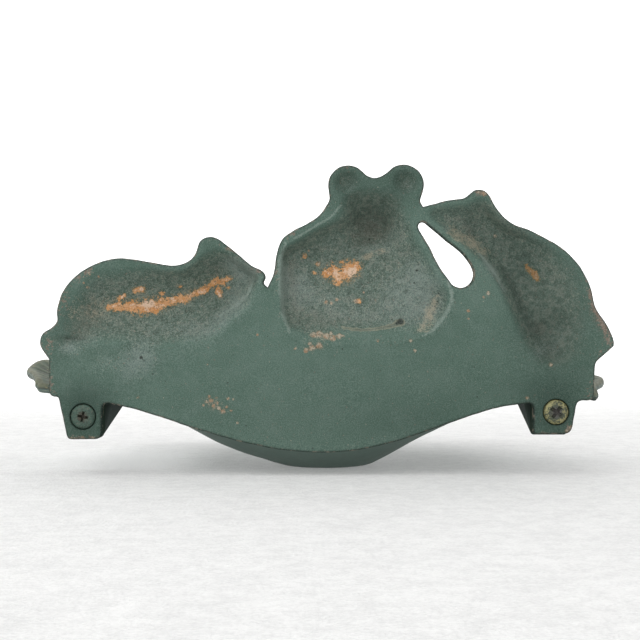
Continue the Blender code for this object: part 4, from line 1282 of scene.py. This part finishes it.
# ---------------------------------------------------------------- materials
def plate_material():
    n = Nodes("green_paint_over_cast_iron")
    behind, deep = n.value("behind"), n.value("deep")
    edge, stand = n.value("edge"), n.value("stand")
    broad, mid = n.noise(24), n.noise(5, detail=3, rough=0.6)
    fine, grain = n.noise(1, detail=3, rough=0.6), n.noise(0.36, rough=0.6)
    speckle = n.noise(0.36, detail=1, offset=(0.2, 0, 0))
    soft = n.noise(2.4, detail=3, rough=0.6, offset=(0, 0.2, 0))
    grit = n.noise(0.72, rough=0.55, offset=(0.2, 0, 0.1)) * 0.6 + speckle * 0.4
    ragged = n.noise(1.5, detail=4, rough=0.7, offset=(0.3, 0, 0)) * 0.55 + grain * 0.45
    ragged = (ragged - 0.5) * 2.2
    flake = (n.noise(1.3, detail=5, rough=0.75, offset=(0.3, 0.5, 0)) - 0.5) * 1.7

    # In the hollows the paint is thin, dusty and speckled dark and light.
    inner = deep.ramp(0.05, 0.42)
    calm = n.math("SUBTRACT", 1.0, n.value("shade"), clamp=True)
    gritty = n.math("ADD", deep.ramp(0.02, 0.22), n.value("pale") * 0.7, clamp=True) * calm
    glint = n.noise(0.55, detail=1, offset=(0.9, 0, 0)).ramp(0.66, 0.74)
    glint = gritty * (glint * soft.ramp(0.44, 0.60))
    pink = (n.noise(1, detail=4, rough=0.7, offset=(0, 0.4, 0)) - 0.5) * 3.0
    pink = (n.value("pink") + pink).ramp(0.32, 0.75)
    colour = n.mix(broad.ramp(0.35, 0.65), (0.0755, 0.140, 0.107), (0.088, 0.155, 0.121))
    colour = n.coat(
        colour,
        (mid.ramp(0.42, 0.7), 0.25, (0.15, 0.215, 0.185)),  # lighter patches
        (n.value("shade"), 0.85, (0.040, 0.074, 0.055)),
        (inner, 0.25, (0.125, 0.140, 0.110)),  # dust
        (soft.ramp(0.46, 0.60), 0.42, (0.20, 0.21, 0.175), inner),
        (soft.ramp(0.50, 0.38), 0.46, (0.050, 0.068, 0.050), inner),
        (grit.ramp(0.50, 0.38), 0.64, (0.028, 0.044, 0.033), gritty),  # speckles
        (grit.ramp(0.52, 0.66), 0.52, (0.30, 0.33, 0.27), gritty),
        (glint, 0.6, (0.46, 0.45, 0.33)),
        ((n.value("brown") + ragged).ramp(0.15, 0.95), 0.6, (0.120, 0.104, 0.078)),
        # Painted shade in the hollows.
        ((n.value("dark") + ragged).ramp(0.12, 1.05), 0.62, (0.026, 0.038, 0.029)),
        # Pale dust, with painted light on up-facing slopes.
        ((n.value("pale") + ragged).ramp(0.18, 1.1), 0.50, (0.27, 0.33, 0.305)),
        ((n.value("sand") + ragged * 1.5).ramp(0.30, 1.0), 0.72, (0.38, 0.33, 0.235)),
        # Painted highlights on the lips.
        ((n.value("lips") + ragged).ramp(0.15, 0.9), 0.58, (0.27, 0.33, 0.29)),
        (pink, 0.62, (0.27, 0.165, 0.125)),
        (grain.ramp(0.54, 0.68), 0.6, (0.46, 0.36, 0.31), pink),
    )

    # Rust where the paint has gone, orange with cream in the middle.
    patches = (n.noise(3.8, offset=(0.8, 0, 0)) - 0.5) * 0.9
    rusty = n.value("rust") + flake * 1.25 + patches + (grit - 0.5) * 1.1
    near = n.value("rust").ramp(0.0, 0.10)
    rust = rusty.ramp(0.46, 0.54) * near
    halo = (rusty + (grit - 0.5) * 1.2).ramp(0.08, 0.50) * (near * 0.6)
    hue = n.noise(2.4, detail=3, rough=0.6, offset=(0, 0.7, 0)).ramp(0.44, 0.56)
    cream = n.noise(1.9, detail=5, rough=0.75, offset=(0, 0, 0.4)).ramp(0.51, 0.57)
    cream = n.math(
        "ADD", (n.value("cream") + flake * 0.7).ramp(0.35, 0.65), rusty.ramp(0.6, 1.0) * cream,
        clamp=True,
    )
    warm = n.coat(
        n.mix(hue, (0.61, 0.265, 0.080), (0.67, 0.34, 0.145)),
        (cream, None, (0.78, 0.54, 0.38)),
        (grit.ramp(0.48, 0.36), 0.7, (0.20, 0.11, 0.055)),
        (n.math("MULTIPLY", n.value("shade"), 1.7, clamp=True), None, (0.27, 0.145, 0.05)),
        (rusty.ramp(0.66, 0.48), 0.55, (0.40, 0.27, 0.10)),
    )
    crumbs = 1.0 + (flake * 1.5 + (grit - 0.5) * 5.0)
    chip = (n.value("chips") * crumbs).ramp(0.34, 0.50)
    chip_hue = n.noise(1.6, offset=(0.7, 0, 0)).ramp(0.44, 0.56)
    crack = n.value("crack") + (fine - 0.5) * 0.5
    rub = n.noise(3.2, detail=3, rough=0.65, offset=(0.6, 0, 0)) * 0.6 + fine * 0.4
    colour = n.coat(
        colour,
        (halo, None, (0.235, 0.175, 0.085)),
        (rust, None, warm),
        # chips, with a stain around each
        ((n.value("chips") * (1.0 + flake * 1.5)).ramp(0.04, 0.5), 0.45, (0.20, 0.145, 0.085)),
        (chip, 0.75, n.mix(chip_hue, (0.40, 0.235, 0.135), (0.50, 0.42, 0.32))),
        # the crack, light beside and dark within
        (crack.ramp(0.05, 0.30), 0.5, (0.32, 0.30, 0.21)),
        (crack.ramp(0.50, 0.70), 0.6, (0.070, 0.095, 0.075)),
        # little black pits and pale specks
        (n.specks(5.5, above=0.45), 0.8, (0.018, 0.022, 0.018)),
        (n.specks(3.6, above=0.7, offset=(0.01, 0.02, 0.03)), 0.6, (0.46, 0.42, 0.34)),
        (n.value("pits").ramp(0.3, 0.7), None, (0.012, 0.015, 0.012)),
        # paint rubbed off the edges
        (edge.ramp(0.32, 0.85), 0.82, (0.026, 0.034, 0.029)),
        (edge.ramp(0.42, 0.9) * rub.ramp(0.52, 0.58), 0.7, (0.36, 0.29, 0.23)),
        # grain
        (grain.ramp(0.42, 0.70), 0.30, (0.22, 0.285, 0.25)),
        (grain.ramp(0.56, 0.30), 0.34, (0.03, 0.05, 0.04)),
    )
    # Painted shade: the dim spots multiply the finished colour darker.
    colour = n.mix(n.value("painted_shade_dim"), colour, (0.46, 0.52, 0.51), "MULTIPLY")

    # The front has an antique finish: dark in the low places, rubbed on the high ones.
    x, _, z = n.axes(n.place)
    # Painted shade on the front and sides of the lugs, in the gap against the dish's bosses.
    lug = n.math("ABSOLUTE", x).ramp(0.066, 0.070) * z.ramp(0.030, 0.027)
    face = n.coat(
        n.mix(stand.ramp(-0.30, 0.08), (0.018, 0.030, 0.020), (0.066, 0.112, 0.070)),
        (mid.ramp(0.4, 0.7), 0.35, (0.10, 0.15, 0.085)),
        ((stand + (fine - 0.5) * 0.5).ramp(0.10, 0.42), 0.6, (0.31, 0.28, 0.17)),
        (n.value("eye"), 0.85, (0.42, 0.27, 0.055)),
        (n.value("pupil").ramp(0.3, 0.6), None, (0.008, 0.008, 0.007)),
        (lug, 0.9, (0.030, 0.046, 0.037)),
    )
    height = grain * 0.5 + fine * 0.9 + n.value("pits").ramp(0.2, 0.8) * -1.5
    height = height + rust * (fine * 0.6) + gritty * (grit * 1.4)
    height = height + crack.ramp(0.3, 0.75) * -1.2
    # Less sheen on the painted shade spots, as part of that painted shade, and on the worn edges.
    worn = n.math("MAXIMUM", n.value("shade") * 0.6, edge.ramp(0.45, 0.9))
    return n.finish(
        n.mix(behind, face, colour),
        roughness=0.55 + fine * 0.22,
        normal=n.bump(height, depth=0.2, strength=0.8),
        specular=n.math("SUBTRACT", 1.0, worn, clamp=True) * 0.36,
    )


def dish_material():
    n = Nodes("green_paint_dish")
    stand = n.value("stand")
    broad, mid = n.noise(20), n.noise(4, detail=3, rough=0.6)
    fine, grain = n.noise(1.1, detail=3, rough=0.6), n.noise(0.45, rough=0.6)
    normal_z = n.axes(n.new("NewGeometry").outputs["Normal"])[2]
    up = normal_z.ramp(-0.1, 0.35)
    under = n.coat(
        n.mix(broad.ramp(0.35, 0.65), (0.093, 0.143, 0.121), (0.107, 0.160, 0.135)),
        (mid.ramp(0.45, 0.7), 0.3, (0.10, 0.13, 0.11)),
    )
    stains = n.noise(3, detail=4, rough=0.65, offset=(0.1, 0.2, 0), stretch=(1, 2.4, 1))
    over = n.coat(
        n.mix((stand + mid * 0.1).ramp(-0.12, 0.12), (0.020, 0.030, 0.018), (0.062, 0.098, 0.06)),
        ((stand + fine * 0.3).ramp(0.22, 0.52), 0.42, (0.22, 0.20, 0.13)),  # rubbed high places
        (stains.ramp(0.48, 0.62), 0.5, (0.060, 0.058, 0.040)),
    )
    # The bosses' sides get painted shade, and the two far ends of the dish are streaked.
    x, y, z = n.axes(n.place)
    lug_side_shade = n.math("ABSOLUTE", x).ramp(0.060, 0.065) * z.ramp(0.0275, 0.0255)
    painted_boss_shade = n.math("MAXIMUM", n.value("painted_boss_shade"), lug_side_shade * y.ramp(0.002, 0.012))
    tip = n.math("ABSOLUTE", n.axes(n.place)[0]).ramp(0.086, 0.096) * (1.0 - up * 0.85)
    streaks = n.noise(1.5, detail=3, rough=0.6, offset=(0.2, 0, 0), stretch=(0.28, 0.8, 1.7))
    spots = n.noise(1.4, detail=3, rough=0.7, offset=(0.4, 0, 0)).ramp(0.60, 0.68)
    spots = spots * normal_z.ramp(-0.6, 0.6)
    colour = n.coat(
        n.mix(up, under, over),
        (painted_boss_shade, 0.95, (0.042, 0.056, 0.050)),
        (streaks.ramp(0.52, 0.40), None, (0.048, 0.053, 0.040), tip),
        (streaks.ramp(0.55, 0.66), 0.6, (0.36, 0.36, 0.29), tip),
        (spots * (1.0 - painted_boss_shade), 0.5, (0.36, 0.31, 0.15)),
    )
    return n.finish(
        colour,
        roughness=0.52 + fine * 0.2,
        normal=n.bump(grain * 0.5 + fine * 0.9, depth=0.15, strength=0.6),
        specular=(1.0 - painted_boss_shade * 0.85) * 0.45,
    )


def screw_material(side, paint, metal, centre, share):
    """Paint worn to metal from the rim inwards, over `share` of the head's radius."""
    n = Nodes("screw_%s_paint" % side)
    mid = n.noise(1.3, detail=3, rough=0.65)
    fine = n.noise(0.5, detail=3, rough=0.6, offset=(0.1, 0, 0))
    grain = n.noise(0.25, rough=0.6)
    x, _, z = n.axes(n.place)
    right, axis_z = SCREWS[side]
    off_x = x + (right - SHIFT[0]) * MM
    off_z = z + -(axis_z + SHIFT[2]) * MM
    out = n.math("SQRT", off_x * off_x + off_z * off_z) * (1 / (HEAD_R * MM))
    ragged = (mid - 0.5) * 1.5 + (fine - 0.5) * 1.1
    worn = (out + ragged).ramp(1.0 - share, 1.25 - share)
    colour = n.coat(
        paint,
        (worn, 0.85, metal),
        ((out + ragged * 0.6).ramp(0.56, 0.22), 0.8, centre),
        ((mid * 0.5 + grain * 0.5).ramp(0.54, 0.62), 0.4, (0.30, 0.28, 0.22)),  # pale spots
        (fine.ramp(0.50, 0.36), 0.85, (0.022, 0.026, 0.018)),  # dark spots
    )
    return n.finish(
        colour,
        roughness=0.45 + fine * 0.3,
        normal=n.bump(fine + grain * 0.6, depth=0.09, strength=0.7),
        specular=0.45,
        metallic=worn * 0.35,
    )


def paper_material():
    """White felted paper, with a glow that lifts the shadow under the dish and the far end."""
    n = Nodes("studio_paper")
    x, y, _ = n.axes(n.place)
    n.put(n.bsdf.inputs["Emission Color"], (1, 1, 1))
    plus_x = x.ramp(0.034, 0.064) * x.ramp(0.130, 0.085) * 0.19
    minus_x = x.ramp(-0.045, -0.078) * x.ramp(-0.135, -0.095) * 0.09
    under_dish = (plus_x + minus_x) * (y.ramp(0.034, 0.004) * y.ramp(-0.078, -0.028))
    glow = 0.22 + under_dish + y.ramp(-0.12, -0.45) * 0.18 + y.ramp(-0.36, -0.60) * 0.5
    n.put(n.bsdf.inputs["Emission Strength"], glow)
    felt = n.noise(16, detail=3, rough=0.6) * 0.22
    felt = felt + n.noise(4.5, detail=4, rough=0.65, offset=(0.1, 0, 0)) * 0.38
    felt = felt + n.noise(1, detail=3, rough=0.6, offset=(0, 0.1, 0)) * 0.40
    return n.finish(
        n.mix(felt.ramp(0.36, 0.62), (0.54, 0.54, 0.536), (0.675, 0.675, 0.667)),
        roughness=0.9,
        normal=n.bump(felt, depth=1.5, strength=0.9),
        specular=0.15,
    )


# ---------------------------------------------------------------- floor, light and camera
def build_floor():
    """A sheet of textured paper, swept up on the -Y side of the object. In metres."""
    sweep = [(y, 0.0) for y in np.linspace(1.3, -0.42, 30)]
    sweep += [
        (-0.42 - 0.30 * math.sin(a), 0.30 - 0.30 * math.cos(a))
        for a in np.linspace(0, math.pi / 2, 25)[1:]
    ]
    sweep += [(-0.72, 0.8), (-0.72, 1.3)]
    count = 40
    verts = [(x, y, z) for y, z in sweep for x in np.linspace(-1.3, 1.3, count)]
    faces = [
        (k * count + i, (k + 1) * count + i, (k + 1) * count + i + 1, k * count + i + 1)
        for k in range(len(sweep) - 1)
        for i in range(count - 1)
    ]
    mesh = bpy.data.meshes.new("studio_floor")
    mesh.from_pydata(verts, [], faces)
    mesh.shade_smooth()
    floor = bpy.data.objects.new("studio_floor", mesh)
    bpy.context.scene.collection.objects.link(floor)
    mesh.materials.append(paper_material())


def build_world():
    """White light, stronger from above."""
    world = bpy.data.worlds.new("studio")
    bpy.context.scene.world = world
    world.use_nodes = True
    tree = world.node_tree
    direction = tree.nodes.new("ShaderNodeTexCoord")
    split = tree.nodes.new("ShaderNodeSeparateXYZ")
    strength = tree.nodes.new("ShaderNodeMapRange")
    for name, value in (
        ("From Min", -0.1), ("From Max", 0.9), ("To Min", 0.54), ("To Max", 0.90)
    ):
        strength.inputs[name].default_value = value
    background = tree.nodes["Background"]
    tree.links.new(direction.outputs["Generated"], split.inputs[0])
    tree.links.new(split.outputs[2], strength.inputs["Value"])
    tree.links.new(strength.outputs[0], background.inputs[1])
    background.inputs[0].default_value = (1, 1, 1, 1)


def softbox(name, place, target, size, power):
    light = bpy.data.lights.new(name, "AREA")
    light.shape, light.size, light.energy = "DISK", size, power
    obj = bpy.data.objects.new(name, light)
    bpy.context.scene.collection.objects.link(obj)
    obj.location = place
    obj.visible_camera = False
    aim = Vector(target) - Vector(place)
    obj.rotation_euler = aim.to_track_quat("-Z", "Y").to_euler()


CAMERA_AWAY = 0.42  # from the plate's back, in metres
VIEW_WIDTH = 0.2176  # what the picture takes in at the plate's back, in metres


def build_camera():
    data = bpy.data.cameras.new("camera")
    camera = bpy.data.objects.new("camera", data)
    bpy.context.scene.collection.objects.link(camera)
    data.sensor_width = 36.0
    data.lens = 36.0 * CAMERA_AWAY / VIEW_WIDTH
    camera.location = (
        -0.00085 + SHIFT[0] * MM, PLATE_TOP_CORNER.y + CAMERA_AWAY, 0.0544 + SHIFT[2] * MM
    )
    camera.rotation_euler = (math.radians(90), 0, math.radians(180))
    data.clip_start, data.clip_end = 0.01, 20
    bpy.context.scene.camera = camera


# ---------------------------------------------------------------- assembly
plate = build_plate()
dish = build_dish()
add_bosses(dish)
left_screw, right_screw = (make_screw(side) for side in SIDES)
write_plate_wear_and_shade(plate.data)
write_dish_curvature_and_shade(dish.data)

for piece, material in (
    (plate, plate_material()),
    (dish, dish_material()),
    (left_screw, screw_material(
        "left", paint=(0.050, 0.096, 0.072), metal=(0.062, 0.112, 0.086),
        centre=(0.060, 0.040, 0.026), share=0.1,
    )),
    (right_screw, screw_material(
        "right", paint=(0.060, 0.076, 0.048), metal=(0.36, 0.340, 0.160),
        centre=(0.110, 0.098, 0.100), share=0.38,
    )),
):
    piece.data.materials.clear()
    piece.data.materials.append(material)
    piece.data.transform(Matrix.Translation(Vector(SHIFT) * MM))
    piece.data.update()

for piece, node, slot in (
    (plate, "frog_backplate", "painted_iron"),
    (dish, "lily_pad_dish", "painted_iron_dish"),
    (left_screw, "screw_left", "screw_painted"),
    (right_screw, "screw_right", "screw_worn"),
):
    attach(piece, "root")
    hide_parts(node)

build_floor()
build_world()
softbox("window_softbox", place=(0.60, 0.50, 0.85), target=(0, 0.02, 0.03), size=1.1, power=4.0)
softbox("low_softbox", place=(0.15, 1.15, 0.30), target=(0, 0.02, 0.02), size=1.0, power=1.9)
build_camera()
bpy.context.scene.view_settings.view_transform = "Standard"
